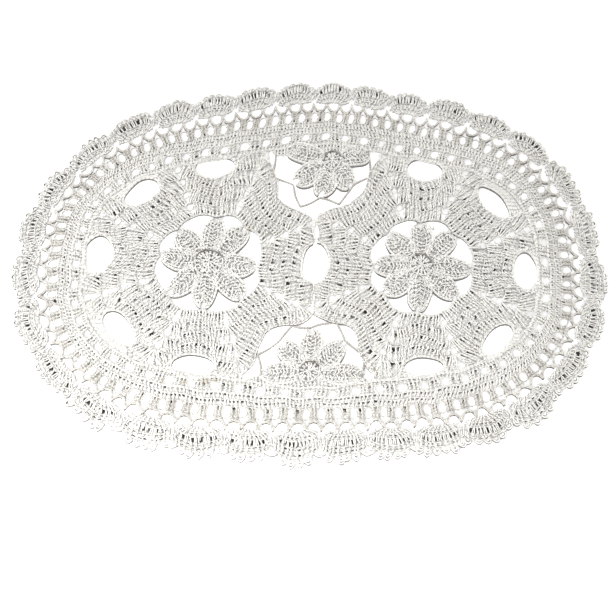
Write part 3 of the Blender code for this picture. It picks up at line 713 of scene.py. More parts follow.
@dataclass(frozen=True)
class CottonThread:
    """Plied cotton thread, bleached ivory, with a twist that shows close up; its ply grooves and its sides
    turned from the lamp hold painted shade.
    """

    tone: bpy.types.NodeTree
    fibre: bpy.types.NodeTree
    marks: bpy.types.NodeTree
    color: tuple[float, float, float, float] = (0.885, 0.868, 0.828, 1.0)
    aged: tuple[float, float, float, float] = (0.78, 0.755, 0.70, 1.0)
    # Painted shade: the colour is darkened down to this share on surfaces turned away from lit_from.
    turned_away_shade: float = 0.36
    turned_away_span: tuple[float, float] = (0.20, 0.80)
    lit_from: tuple[float, float, float] = (-0.12, 0.42, 0.90)
    marked: tuple[float, float, float, float] = (0.50, 0.40, 0.27, 1.0)
    name: str = "cotton_thread"
    amount: float = 0.35
    plies: float = 3.0
    ply_length: float = 0.0042
    # Painted shade: how dark the grooves between the plies are painted.
    ply_groove_shade: float = 0.90
    darkest: float = 0.84
    soil_scale: float = 420.0
    soil_span: tuple[float, float] = (0.35, 0.60)
    roughness: float = 0.85
    sheen: float = 0.25
    sheen_roughness: float = 0.5
    specular: float = 0.25
    fuzz_scale: float = 3500.0
    bump_strength: float = 0.5
    bump_height: float = 0.00008

    def material(self) -> bpy.types.Material:
        """The finish as a material."""
        made = bpy.data.materials.new(self.name)
        made.use_nodes = True
        tree = made.node_tree
        around = add_node(tree, "UVMap", uv_map="yarn")
        split = add_node(tree, "SeparateXYZ", {"Vector": around.outputs["UV"]})
        turn = combine(tree, "MULTIPLY", split.outputs["X"], TAU * self.plies)
        run = combine(tree, "MULTIPLY", split.outputs["Y"], TAU * self.plies / self.ply_length)
        # The ply twist as a wave: it drives the bump, and painted shade in the grooves between the plies.
        wave = combine(tree, "SINE", combine(tree, "ADD", turn, run))
        ply_groove_shade = remap(tree, wave, (-1.0, 1.0), low=self.ply_groove_shade)
        uneven = add_node(tree, "TexNoise", {"Vector": object_place(tree), "Scale": self.soil_scale,
                                             "Detail": 1.0})
        soil = remap(tree, uneven.outputs["Fac"], self.soil_span, low=self.darkest)
        # Painted shade: surfaces whose normals turn away from the far lamp's direction are darkened.
        facing = add_node(tree, "NewGeometry")
        toward = add_node(tree, "VectorMath", {0: facing.outputs["Normal"], 1: self.lit_from},
                          operation="DOT_PRODUCT")
        painted_side_shade = remap(tree, toward.outputs["Value"], self.turned_away_span, low=self.turned_away_shade)
        # Painted shade of the turned-away sides and of the ply grooves, times the random soil tone.
        both = combine(tree, "MULTIPLY", combine(tree, "MULTIPLY", ply_groove_shade, soil), painted_side_shade)
        tone = add_node(tree, "Group", node_tree=self.tone)
        feed(tree, tone, {"Color": self.color, "Aged": self.aged, "Amount": self.amount})
        marks = add_node(tree, "Group", node_tree=self.marks)
        tinge = add_node(tree, "Mix", {"Factor": marks.outputs["Mask"], "A": tone.outputs["Color"],
                                       "B": self.marked}, data_type="RGBA")
        shade = add_node(tree, "Mix", {"Factor": 1.0, "A": tinge.outputs["Result"], "B": both},
                         data_type="RGBA", blend_type="MULTIPLY")
        fibre = add_node(tree, "Group", {"Scale": self.fuzz_scale}, node_tree=self.fibre)
        height = combine(tree, "ADD", wave, fibre.outputs["Height"])
        bump = add_node(tree, "Bump", {"Strength": self.bump_strength, "Distance": self.bump_height,
                                       "Height": height})
        feed(tree, tree.nodes["Principled BSDF"], {
            "Roughness": self.roughness, "Sheen Weight": self.sheen, "Sheen Roughness": self.sheen_roughness,
            "Specular IOR Level": self.specular, "Base Color": shade.outputs["Result"],
            "Normal": bump.outputs["Normal"]})
        return made


@dataclass(frozen=True)
class ShadedCore:
    """The core between the strands, coloured with painted shade: grey, and near black where the posts part at
    their roots.
    """

    tone: bpy.types.NodeTree
    fibre: bpy.types.NodeTree
    # Painted shade: the core's grey stands for the shade seen between the strands, and deep for the
    # near-black pits at the posts' roots.
    color: tuple[float, float, float, float] = (0.68, 0.67, 0.645, 1.0)
    aged: tuple[float, float, float, float] = (0.44, 0.43, 0.41, 1.0)
    deep: tuple[float, float, float, float] = (0.030, 0.028, 0.026, 1.0)
    amount: float = 0.8
    pit_shade_span: tuple[float, float] = (0.54, 0.30)
    sure_shade_span: tuple[float, float] = (0.0, -0.2)
    patch_scale: float = 170.0
    patch_span: tuple[float, float] = (0.34, 0.52)
    specular: float = 0.1
    fuzz_scale: float = 1800.0
    bump_strength: float = 0.6
    bump_height: float = 0.0002

    def material(self) -> bpy.types.Material:
        """The finish as a material."""
        made = bpy.data.materials.new("felted_core")
        made.use_nodes = True
        tree = made.node_tree
        # Painted shade: the height up each row picks where the core turns near black, in random patches, and
        # surely in slit rows.
        cell = add_node(tree, "UVMap", uv_map="cell")
        up = add_node(tree, "SeparateXYZ", {"Vector": cell.outputs["UV"]}).outputs["Y"]
        patches = add_node(tree, "TexNoise", {"Vector": object_place(tree), "Scale": self.patch_scale,
                                              "Detail": 2.0})
        chance = remap(tree, patches.outputs["Fac"], self.patch_span)
        either = combine(tree, "MAXIMUM", chance, remap(tree, up, self.sure_shade_span))
        both = combine(tree, "MULTIPLY", remap(tree, up, self.pit_shade_span), either)
        tone = add_node(tree, "Group", node_tree=self.tone)
        feed(tree, tone, {"Color": self.color, "Aged": self.aged, "Amount": self.amount})
        mix = add_node(tree, "Mix", {"Factor": both, "A": tone.outputs["Color"], "B": self.deep},
                       data_type="RGBA")
        fibre = add_node(tree, "Group", {"Scale": self.fuzz_scale}, node_tree=self.fibre)
        bump = add_node(tree, "Bump", {"Strength": self.bump_strength, "Distance": self.bump_height,
                                       "Height": fibre.outputs["Height"]})
        feed(tree, tree.nodes["Principled BSDF"], {
            "Roughness": 1.0, "Specular IOR Level": self.specular, "Base Color": mix.outputs["Result"],
            "Normal": bump.outputs["Normal"]})
        return made


@dataclass(frozen=True)
class Finishes:
    """The materials that the runner's pieces wear."""

    cotton: bpy.types.Material
    # The next three are darker threads: painted shade on the net cords, a near-black painted shadow along the
    # near sides of edges, and painted shade on the arches.
    worn: bpy.types.Material
    edge: bpy.types.Material
    shaded: bpy.types.Material
    core: bpy.types.Material

    def of_thread(self, piece: str) -> bpy.types.Material:
        """The finish of a piece of thread, by the last word of its name."""
        # Net pieces wear a darker thread of painted shade, edges pieces a near-black thread of painted
        # shadow, arches a thread of painted shade.
        return {"net": self.worn, "edges": self.edge,
                "arches": self.shaded}.get(piece.rsplit("_", 1)[-1], self.cotton)


@dataclass(frozen=True)
class Petal:
    """Where a petal points, in degrees, how far out its tip is and half its width."""

    angle: float
    tip: float
    half_width: float = 0.0094


@dataclass(frozen=True)
class Flower:
    """Paddle-shaped petals round an eye, each worked in rows along both its sides."""

    centre: tuple[float, float]
    petals: tuple[Petal, ...]
    eye: float = 0.0105
    fullness: float = 0.44
    widest: float = 0.59
    rows: tuple[float, ...] = (0.03, 0.36, 0.67, 0.93)
    tip_inset: float = 0.0003
    tip_round: float = 0.0040
    root_at: float = 0.92
    root_flare: float = 0.0016
    eye_hole: float = 0.0012
    eye_round: float = 0.0037
    eye_stitch: float = 0.0031
    eye_raise: float = 0.0013
    eye_arc: tuple[float, float] = (0.15, 1.05)
    eye_arc_height: float = 0.0031
    dome: float = 0.0009
    stitch: float = 0.0029
    slip: float = 0.22

    def side_line(self, petal: Petal, side: float, share: float) -> Array:
        """A line along one side of a petal, a share of the way from its middle to its edge."""
        end = petal.tip - self.tip_inset - self.tip_round * (1.0 - share) ** 2
        reach = np.linspace(self.eye * self.root_at + self.root_flare * share, end, 40)
        angle, widest = math.radians(petal.angle), self.widest * petal.tip
        turn = np.array([math.cos(angle), math.sin(angle)])
        across = np.array([-turn[1], turn[0]])
        out = (reach - widest) / (petal.tip - widest)
        half = petal.half_width * np.maximum(0.0, 1.0 - out ** 2) ** self.fullness
        return np.array(self.centre) + reach[:, None] * turn + (side * share * half)[:, None] * across

    def work(self, skein: Skein, painted_shadow: Skein) -> None:
        """Works the petals and eye into a skein, and strands of painted shadow at their near edges into
        another.
        """
        for petal in self.petals:
            count = round((petal.tip - self.eye) / self.stitch)
            for side in (-1.0, 1.0):
                edges = []
                for share in self.rows:
                    steps = np.arange(count + 1) / count
                    steps[1:-1] += skein.hand.normal(0.0, self.slip / count, count - 1)
                    line = self.side_line(petal, side, share)
                    edges.append(at_lengths(line, length_along(line)[-1] * steps))
                for i, (low, high) in enumerate(zip(edges, edges[1:])):
                    skein.work(Row(low, high), Stitch.DOUBLE_CROCHET, rise=self.dome * (1.0 - 0.25 * i),
                               full=0.92, loose=1.5, shade=Shade.EVEN)
                skein.chain(edges[-1], height=0.0012 + self.dome * 0.5, link=self.stitch)
                outline = self.side_line(petal, side, 1.0)[8:]
                outward = outline[20] - self.side_line(petal, side, 0.0)[28]
                # A strand of painted shadow lies under each petal edge that faces the near side.
                if outward[1] < 0.0:
                    painted_shadow.edge(outline)
        self.work_eye(skein)
        # A strand of painted shadow along the eye's far arc, where the raised eye's rim is in shade.
        arc = np.linspace(*self.eye_arc, 15) * math.pi
        painted_shadow.edge(np.array(self.centre) + polar(np.full(15, self.eye), arc),
                    height=self.eye_arc_height, drop=0.0)

    def work_eye(self, skein: Skein) -> None:
        """Works the rounds of the flower's middle."""
        middle = np.array(self.centre)
        rounds = max(2, round(self.eye / self.eye_round))
        edges = np.linspace(self.eye_hole, self.eye, rounds + 1)
        for near, far in zip(edges, edges[1:]):
            count = round(TAU * far / self.eye_stitch)
            turn = TAU * (np.arange(count + 1) + skein.hand.uniform(0.0, 1.0)) / count
            turn[1:-1] += skein.hand.normal(0.0, 0.12 * TAU / count, count - 1)
            skein.work(Row(middle + polar(np.full(count + 1, near), turn),
                           middle + polar(np.full(count + 1, far), turn)),
                       Stitch.DOUBLE_CROCHET, rise=self.eye_raise, loose=1.6, shade=Shade.EVEN)


@dataclass(frozen=True)
class Opening:
    """An oval opening at one of the star's valleys."""

    angle: float
    at: float
    half_length: float
    half_width: float

    def loop(self, centre: Array, grow: float = 0.0, steps: int = 49) -> Array:
        """Points round the opening, or round a line a little outside it."""
        turn = np.linspace(0.25 * TAU, 1.25 * TAU, steps)
        angle = math.radians(self.angle)
        out = np.array([math.cos(angle), math.sin(angle)])
        beside = np.array([-out[1], out[0]])
        return (centre + self.at * out + np.sin(turn)[:, None] * (self.half_width + grow) * out
                + np.cos(turn)[:, None] * (self.half_length + grow) * beside)

    def crossings(self, angle: Array, grow: float = 0.0) -> tuple[Array, Array]:
        """Where rays from the medallion's middle enter and leave the opening, or nan."""
        apart = angle - math.radians(self.angle)
        long, wide = self.half_length + grow, self.half_width + grow
        square = (np.sin(apart) / long) ** 2 + (np.cos(apart) / wide) ** 2
        slope = self.at * np.cos(apart) / wide ** 2
        rest = self.at ** 2 / wide ** 2 - 1.0
        inner = slope ** 2 - square * rest
        root = np.sqrt(np.where((inner > 0.0) & (np.cos(apart) > 0.0), inner, np.nan))
        return (slope - root) / square, (slope + root) / square

    def spread(self) -> float:
        """Half the angle that the opening takes up."""
        return math.asin(self.half_length / self.at)


LEFT_OPENINGS = (Opening(0.0, 0.0830, 0.0152, 0.0103), Opening(90.7, 0.0827, 0.0150, 0.0092),
                 Opening(132.7, 0.0822, 0.0154, 0.0088), Opening(177.6, 0.0834, 0.0156, 0.0105),
                 Opening(220.8, 0.0815, 0.0158, 0.0083), Opening(266.5, 0.0822, 0.0160, 0.0083))
RIGHT_OPENINGS = (Opening(0.0, 0.0810, 0.0152, 0.0103), Opening(93.2, 0.0804, 0.0152, 0.0091),
                  Opening(138.6, 0.0808, 0.0166, 0.0075), Opening(181.0, 0.0835, 0.0150, 0.0092),
                  Opening(225.3, 0.0839, 0.0158, 0.0077), Opening(268.4, 0.0815, 0.0146, 0.0068))


@dataclass
class Medallion:
    """An eight-point star of ripple rows round a flower, drawn for the left side."""

    name: str
    node: str
    mirror: float
    leans: tuple[float, ...]
    valleys: tuple[float, ...]
    openings: tuple[Opening, ...]
    flower: Flower
    ends: tuple[tuple[float, float, float], ...] = ()
    points: int = 8
    ring_reach: float = 0.0006
    ring_bow: float = 0.0042
    valley_halves: tuple[float, ...] = (11.5, 22.5, 18.5, 18.5, 18.5, 18.5, 18.5, 22.5)
    upper_join_tip: float = 0.0870
    tips: tuple[float, ...] = (0.0985, 0.0927, 0.0985, 0.0985, 0.0985, 0.0985, 0.0985, 0.0927)
    slots: tuple[tuple[float, float, float], ...] = ((0.0026, 0.0245, 0.0055), (0.0013, -0.0275, 0.0042))
    rows: int = 4
    stitch: float = 0.0029
    eyelet_root: float = 0.0001
    eyelet_halves: tuple[float, ...] = (0.0001, 0.0034, 0.0034, 0.0032, 0.0030)
    fans: tuple[float, ...] = (0.7, 1.5, 2.1, 2.6)
    fan_reach: float = 2.0
    hoop: tuple[float, float] = (0.0029, 0.0029)
    lean_of_rows: float = 0.35
    join_clearance: float = 0.0007
    opening_edge: float = 0.0004
    opening_clearance: float = 0.0008
    opening_chain: float = 0.0009
    opening_beyond: float = 0.0012
    eyelet_reach: float = 0.0012
    eyelet_radius: float = 0.075
    beyond_line: float = 0.0024

    def __post_init__(self) -> None:
        """Works out the medallion's centre and where its petals' tips meet the chain ring."""
        self.centre = np.array([-PLAN.medallion_at, 0.0])
        tips = np.array([np.array(self.flower.centre) - self.centre
                         + polar(petal.tip + self.ring_reach, math.radians(petal.angle))
                         for petal in self.flower.petals])
        angles = np.arctan2(tips[:, 1], tips[:, 0]) % TAU
        order = np.argsort(angles)
        angles, reaches = angles[order], np.hypot(tips[:, 0], tips[:, 1])[order]
        self.tip_angles = np.concatenate([[angles[-1] - TAU], angles, [angles[0] + TAU]])
        self.tip_reaches = np.concatenate([[reaches[-1]], reaches, [reaches[0]]])

    def lean(self, angle: Array) -> Array:
        """The angle that the star's plan is turned to at an angle, by how the hand has drawn it."""
        eighth = TAU / self.points
        places = (np.arange(self.points + 2) - 0.5) * eighth
        leans = np.radians([self.leans[-1], *self.leans, self.leans[0]])
        return angle + np.interp(angle % TAU, places, leans)

    def ring_radius(self, angle: Array) -> Array:
        """The radius of the chain ring round the flower."""
        turned = np.asarray(angle) % TAU
        past = np.interp(turned, self.tip_angles, np.arange(len(self.tip_angles)))
        bow = np.abs(np.sin(math.pi * past)) ** 0.8
        return np.interp(turned, self.tip_angles, self.tip_reaches) + self.ring_bow * bow

    def star_edge(self, angle: Array) -> Array:
        """The star's radius on its even plan, with a valley at each eighth of a turn."""
        eighth = TAU / self.points
        nearest = np.round(np.asarray(angle) / eighth)
        k = nearest.astype(int) % self.points
        off = angle - nearest * eighth
        share = np.minimum(np.abs(off) / np.radians(self.valley_halves)[k], 1.0)
        rise = (1.0 - np.cos(math.pi * share)) / 2.0
        valley, tip = np.array(self.valleys)[k], np.array(self.tips)[k]
        upper_join = (k == 1) & (off < 0.0)
        climb = np.where(upper_join, (self.upper_join_tip - valley) * rise ** 2, (tip - valley) * rise)
        return valley + climb

    def to_join(self, angle: Array) -> Array:
        """How far the join between the medallions is from the centre, less its gap and its slots."""
        facing = np.cos(angle) > 0.3
        height = np.tan(np.where(facing, angle, 0.0)) * PLAN.medallion_at
        back = sum(deep * np.exp(-(((height - at) / reach) ** 2)) for deep, at, reach in self.slots)
        limit = (PLAN.medallion_at - PLAN.join_gap / 2.0 - back) / np.where(facing, np.cos(angle), 1.0)
        return np.where(facing, limit, 1.0)

    def own_side(self, points: Array) -> Array:
        """Which points lie clear of the other medallion."""
        return points[:, 0] < -PLAN.join_gap / 2.0 - self.join_clearance

    def to_ring(self, angle: Array) -> Array:
        """How far the thread ring is from the medallion's centre, less the gap of a join."""
        near, far = np.zeros_like(angle), np.full_like(angle, 2.0 * PLAN.ring_half_length)
        for _ in range(40):
            middle = (near + far) / 2.0
            point = self.centre + polar(middle, angle)
            limit = PLAN.oval(np.arctan2(point[..., 1], point[..., 0]),
                              PLAN.ring_half_length - PLAN.join_gap, PLAN.ring_half_width - PLAN.join_gap,
                              PLAN.ring_squareness)
            within = np.hypot(point[..., 0], point[..., 1]) < limit
            near, far = np.where(within, middle, near), np.where(within, far, middle)
        return near

    def line(self, angle: Array, share: float) -> Array:
        """Points of the line that is a share of the way from the chain ring to the star's edge."""
        leant = self.lean(angle)
        inner = self.ring_radius(leant)
        edge = np.minimum(self.star_edge(angle), np.minimum(self.to_ring(leant), self.to_join(leant)))
        for opening in self.openings:
            edge = np.fmin(edge, opening.crossings(leant, self.opening_clearance)[0])
        return self.centre + polar(inner + (edge - inner) * share, leant)

    def ripple(self, k: int, row: int) -> Row:
        """The cells of one row between two points of the star.

        Args:
            k: Which of the star's points it starts from.
            row: Which row it is, counted outwards from 0.

        Returns:
            The row, with its stitches fanned at the points and drawn in at the valley.
        """
        eighth = TAU / self.points
        angle = np.linspace((k + 0.5) * eighth, (k + 1.5) * eighth, 97)
        lines = []
        for share, half in ((row / self.rows, self.eyelet_root),
                            ((row + 1) / self.rows, self.eyelet_halves[row + 1])):
            fine = self.line(angle, share)
            run = length_along(fine)
            lines.append(at_lengths(fine, np.linspace(half, run[-1] - half, 97)))
        base, head = lines
        head_run, base_run = length_along(head)[-1], length_along(base)[-1]
        half_count = round(head_run / self.stitch / 2.0)
        steps = np.arange(half_count + 1)
        fan = self.fans[row] * (1.0 - np.exp(-steps / self.fan_reach))
        places = (steps - fan) / (steps[-1] - fan[-1]) * (base_run / 2.0 - 0.0004)
        places = np.concatenate([places, base_run - places[-2::-1]])
        return Row(at_lengths(base, places),
                   at_lengths(head, np.linspace(0.0, head_run, 2 * half_count + 1)))

    def build(self, thread: Thread, finishes: Finishes, seed: int) -> list[str]:
        """Builds the medallion's thread and core.

        Args:
            thread: The thread that it is worked in.
            finishes: The finishes of its pieces.
            seed: What the unevenness of the hand starts from.

        Returns:
            The names of the pieces.
        """
        eighth = TAU / self.points
        star = Skein(f"{self.name}_star", thread, seed, (self.mirror, 1.0))
        for k in range(self.points):
            for row in range(self.rows):
                star.work(self.ripple(k, row), Stitch.TREBLE, lean=self.lean_of_rows * (-1.0) ** row,
                          loose=1.4)
                self.eyelet_chain(star, (k + 0.5) * eighth, row + 1)
        turn = np.linspace(0.0, TAU, 193)
        star.chain(self.centre + polar(self.ring_radius(turn), turn), height=0.0012)
        # The edges piece holds near-black strands of painted shadow along the near sides of the openings, the
        # star's edge, the petals and the chain ring.
        edges = Skein(f"{self.name}_edges", thread, seed + 2, (self.mirror, 1.0))
        for opening in self.openings:
            self.frame_opening(star, opening)
            loop = opening.loop(self.centre, self.opening_edge)
            edges.edge(loop[self.own_side(loop)])
        edges.edge(self.line((self.points - 1 + np.linspace(-0.48, 0.48, 33)) * eighth, 1.0))
        flower = Skein(f"{self.name}_flower", thread, seed + 1, (self.mirror, 1.0))
        self.flower.work(flower, edges)
        edges.edge(self.centre + polar(self.ring_radius(turn), turn))
        if self.ends:
            flower.cord(np.array(self.ends), 0.00042, steps=12, turns=2.5)
        return dress([star, flower, edges], self.node, finishes)

    def eyelet_chain(self, skein: Skein, peak: float, row: int) -> None:
        """The chain that closes an eyelet at a point of the star."""
        half = (self.eyelet_halves[row] + self.eyelet_reach) / self.eyelet_radius
        skein.chain(self.line(np.linspace(peak - half, peak + half, 9), row / self.rows), height=0.0014,
                    link=0.0028)
        across, up = self.hoop
        head, below = self.line(np.array([peak, peak]), row / self.rows), self.line(np.array([peak]), 0.0)
        out = unit(head[0] - below[0])
        skein.hoop(head[0] - out * (up + 0.0002), np.array([-out[1], out[0]]), (across, up))

    def frame_opening(self, skein: Skein, opening: Opening) -> None:
        """The chain round an opening, the posts at its ends and the chains beyond it."""
        loop = opening.loop(self.centre, self.opening_chain)
        within = self.own_side(loop)
        skein.chain(loop[within], height=0.0013)
        if not within.all():
            return
        middle, half = math.radians(opening.angle), opening.spread()
        for side in (-1.0, 1.0):
            across = middle + side * (half + np.radians([0.2, 1.9]))
            inner = self.centre + polar(opening.at + np.array([-0.0030, -0.0005]), across)
            outer = self.centre + polar(self.to_ring(across) + 0.0010, across)
            skein.work(Row(inner, outer), Stitch.TREBLE, heads=False)
        beyond = np.linspace(-half - 0.11, half + 0.11, 41) + middle
        ring = self.to_ring(beyond)
        leaves = opening.crossings(beyond, self.opening_beyond)[1]
        leaves = np.where(np.isnan(leaves), ring, leaves)
        leaves = np.minimum(leaves, ring)
        count = int(float(np.max(ring - leaves)) / self.beyond_line)
        for i in range(1, count):
            share = i / count
            skein.chain(self.centre + polar(leaves + (ring - leaves) * share, beyond), height=0.0012)


@dataclass
class HalfFlower:
    """A half flower in a chain net, and the band that it stands on."""

    name: str
    node: str
    flower: Flower
    routes: tuple[tuple[tuple[float, float], ...], ...]
    foot_at: float
    foot_height: float = 0.0060
    foot_reach: float = 1.22
    foot_stitches: int = 30
    cord_radius: float = 0.00056
    cord_turn: float = 0.0040
    cord_height: float = 0.0012
    foot_inset: float = 0.0003

    def build(self, thread: Thread, finishes: Finishes, seed: int) -> list[str]:
        """Builds the half flower's thread and core, as a medallion is built."""
        # The net's cords wear a darker thread of painted shade, and the edges piece holds near-black strands
        # of painted shadow at the petals and the eye.
        skein, net = Skein(self.name, thread, seed), Skein(f"{self.name}_net", thread, seed + 1)
        edges = Skein(f"{self.name}_edges", thread, seed + 2)
        self.foot(skein)
        self.flower.work(skein, edges)
        for route in self.routes:
            for a, b in zip(route, route[1:]):
                line = np.linspace([*a, self.cord_height], [*b, self.cord_height], 9)
                turns = math.dist(a, b) / self.cord_turn
                net.cord(line, self.cord_radius, steps=round(4 * turns), turns=turns)
        return dress([skein, net, edges], self.node, finishes)

    def foot(self, skein: Skein) -> None:
        """The two rows between the flower and the thread ring."""
        across = np.linspace(-1.0, 1.0, self.foot_stitches + 1)
        place = self.foot_at + self.foot_reach * across
        tall = self.foot_height * (1.0 - 0.7 * across ** 6)
        lines = [PLAN.border(place, -self.foot_inset - tall * share) for share in (0.0, 0.5, 1.0)]
        for low, high in zip(lines, lines[1:]):
            skein.work(Row(low, high), Stitch.DOUBLE_CROCHET)


NEAR_ROUTES = (((-0.0354, -0.0932), (-0.0390, -0.0738)),
               ((-0.0390, -0.0738), (-0.0246, -0.0635), (-0.0142, -0.0505), (-0.0004, -0.0522),
                (0.0187, -0.0468), (0.0249, -0.0618), (0.0393, -0.0721), (0.0520, -0.0895)),
               ((0.0393, -0.0721), (0.0389, -0.0915)))
FAR_ROUTES = (((-0.0356, 0.0915), (-0.0368, 0.0693), (-0.0211, 0.0618), (-0.0145, 0.0439), (0.0012, 0.0511),
               (0.0169, 0.0469), (0.0265, 0.0618), (0.0417, 0.0717), (0.0397, 0.0915)),)
NEAR_FLOWER = Flower((-0.0002, -0.0859), (Petal(183.0, 0.0360, 0.0085), Petal(-4.0, 0.0410, 0.0080),
                                          Petal(137.0, 0.0313, 0.0090), Petal(41.3, 0.0333, 0.0090),
                                          Petal(90.5, 0.0325, 0.0086)), eye=0.0075, fullness=0.42)
FAR_FLOWER = Flower((0.0090, 0.0815), (Petal(15.6, 0.0327, 0.0085), Petal(164.2, 0.0367, 0.0085),
                                       Petal(-148.8, 0.0338, 0.0094), Petal(-51.7, 0.0265, 0.0094),
                                       Petal(-103.4, 0.0302, 0.0090)), eye=0.0070, fullness=0.42)
LEFT_FLOWER = Flower((-0.0810, -0.0015), (Petal(85.4, 0.0383), Petal(48.0, 0.0394), Petal(-5.2, 0.0363),
                                          Petal(-44.9, 0.0388), Petal(-93.2, 0.0358), Petal(-137.4, 0.0379),
                                          Petal(172.7, 0.0372), Petal(133.3, 0.0379)))
RIGHT_FLOWER = Flower((-0.0837, 0.0014), (Petal(89.6, 0.0332), Petal(135.0, 0.0362), Petal(-175.2, 0.0383),
                                          Petal(-133.7, 0.0379), Petal(-85.4, 0.0390), Petal(-41.6, 0.0384),
                                          Petal(-4.1, 0.0373), Petal(41.3, 0.0350)), eye=0.0088)
MEDALLIONS = (
    Medallion("medallion_left", "medallion_left", 1.0, (-1.5, -1.3, -2.1, -2.5, -2.8, -2.4, -2.8, -3.0),
              (0.0727, 0.0726, 0.0735, 0.0738, 0.0728, 0.0732, 0.0739, 0.0726), LEFT_OPENINGS, LEFT_FLOWER),
    Medallion("medallion_right", "medallion_right", -1.0, (2.3, 3.3, 2.9, 2.3, 1.7, 1.8, -0.8, 0.2),
              (0.0707, 0.0726, 0.0713, 0.0734, 0.0743, 0.0763, 0.0751, 0.0726), RIGHT_OPENINGS,
              RIGHT_FLOWER, ((-0.0907, 0.0335, 0.0024), (-0.0922, 0.0306, 0.0027),
                             (-0.0940, 0.0298, 0.0022), (-0.0942, 0.0323, 0.0012))))


@dataclass
class Border:
    """The wide border, round by round outwards from the thread ring, to its scalloped rim."""

    node: str = "border"
    ring_line: float = 0.0005
    ring_round: tuple[float, float] = (0.0004, 0.0036)
    net_round: tuple[float, float] = (0.0036, 0.0108)
    net_holes: tuple[tuple[float, float], ...] = ((0.28, 0.0062), (0.78, 0.0078))
    net_hole_depths: tuple[float, float] = (0.0042, 0.0103)
    band: tuple[float, ...] = (0.0108, 0.0158, 0.0207)
    band_stitches: int = 11
    windows: tuple[float, float] = (0.0207, 0.0293)
    window_width: float = 0.0060
    arch_top: float = 0.0304
    arch_foot: float = 0.0372
    fan_rows: tuple[tuple[float, float, float], ...] = ((0.0384, 0.0372, 0.20), (0.0420, 0.0378, 0.34),
                                                        (0.0452, 0.0388, 0.42), (0.0503, 0.0402, 0.468))
    fan_stitches: tuple[int, ...] = (9, 12, 10)
    fan_looks: tuple[tuple[float, float, float, Shade], ...] = ((1.0, 1.0, 1.0, Shade.EVEN),
                                                                (1.0, 1.0, 1.0, Shade.ROOTS),
                                                                (1.05, 0.80, 0.7, Shade.SLITS))
    slit_twist: float = 0.3
    fan_bend: float = 0.8
    rim_reach: float = 0.494
    slit_shift: float = 0.0040
    slit_reach: float = 0.93
    rim_stitches: int = 13
    rim_rows: int = 2
    notches: tuple[float, float] = (0.0466, 0.0014)
    tips: tuple[float, ...] = (0.0612, 0.0588, 0.0594, 0.0608, 0.0582, 0.0588, 0.0594, 0.0611,
                               0.0632, 0.0600, 0.0608, 0.0618, 0.0612, 0.0596, 0.0592, 0.0595,
                               0.0598, 0.0568, 0.0570, 0.0562, 0.0562, 0.0550, 0.0556, 0.0546,
                               0.0543, 0.0554, 0.0552, 0.0566, 0.0543, 0.0552, 0.0568, 0.0578)
    picots: int = 6
    picot_rise: float = 0.0050
    picot_half: float = 0.0019
    picot_more: float = 0.0010
    picot_least: float = 0.0003
    picot_shares: tuple[float, ...] = (1.0, 0.70, 0.36)
    loose_end: tuple[tuple[float, float, float], ...] = (
        (0.2250, -0.0040, 0.0014), (0.2272, -0.0078, 0.0008), (0.2284, -0.0122, 0.0006),
        (0.2271, -0.0189, 0.0006), (0.2258, -0.0258, 0.0009))

    def build(self, thread: Thread, finishes: Finishes, seed: int) -> list[str]:
        """Builds the border's thread and core, as a medallion is built."""
        inner = Skein("border_rounds", thread, seed)
        # The arches wear a darker thread of painted shade, and the edges piece holds near-black strands of
        # painted shadow along the arches and picots.
        outer = Skein("border_arches", thread, seed + 1)
        scallops = Skein("border_scallops", thread, seed + 2)
        edges = Skein("border_edges", thread, seed + 3)
        picots = Skein("border_picots", thread, seed + 4)
        self.ring(inner)
        self.net(inner)
        self.solid_band(inner)
        for k in range(PLAN.repeats):
            self.blocks(outer, k)
            self.arches(outer, edges, k)
            self.scallop(scallops, k)
            self.picot_loops(picots, edges, k)
        picots.lay(np.array([self.loose_end]), thread.radius * 0.8)
        return dress([inner, outer, scallops, picots, edges], self.node, finishes)

    def round_line(self, depth: float, steps: int = 960) -> Array:
        """A line right round the border at one depth."""
        return PLAN.border(np.linspace(0.0, PLAN.repeats, steps + 1), depth)

    def close_edges(self, skein: Skein, stagger: float) -> Array:
        """Where the stitches of a close round part, as unevenly as the hand makes them."""
        count = PLAN.repeats * self.band_stitches
        edges = np.arange(count + 1) + stagger
        edges[:-1] += skein.hand.normal(0.0, 0.11, count)
        edges[-1] = edges[0] + count
        return edges / self.band_stitches

    def ring(self, skein: Skein) -> None:
        """The thread ring, a chain with a close round over it."""
        skein.chain(self.round_line(self.ring_line), height=0.0014)
        edges = self.close_edges(skein, 0.0)
        skein.work(border_row(edges, *self.ring_round), Stitch.DOUBLE_CROCHET)

    def net(self, skein: Skein) -> None:
        """The round of blocks and holes just outside the thread ring."""
        for k in range(PLAN.repeats):
            (first, small), (second, large) = ((k + at, width / PITCH / 2.0)
                                               for at, width in self.net_holes)
            for start, end in ((first + small, second - large), (second + large, first + 1.0 - small)):
                edges = np.linspace(start, end, 4)
                skein.work(border_row(edges, *self.net_round), Stitch.TREBLE, heads=False)
            for at, width in self.net_holes:
                self.round_gap(skein, k + at, self.net_hole_depths, width, 0.0003)

    def round_gap(self, skein: Skein, repeat: float, depths: tuple[float, float], width: float,
                  grow: float) -> None:
        """A strand that rounds off a gap of the border."""
        low, high = PLAN.border(np.array([repeat, repeat]), np.array(depths))
        half = (np.linalg.norm(high - low) / 2.0 + grow, width / 2.0 + grow)
        skein.hoop((low + high) / 2.0, high - low, half)

    def solid_band(self, skein: Skein) -> None:
        """The two close rounds of double crochet."""
        skein.chain(self.round_line(self.band[0]), height=0.0015)
        for i, (low, high) in enumerate(zip(self.band, self.band[1:])):
            edges = self.close_edges(skein, 0.5 * i)
            skein.work(border_row(edges, low, high), Stitch.DOUBLE_CROCHET)

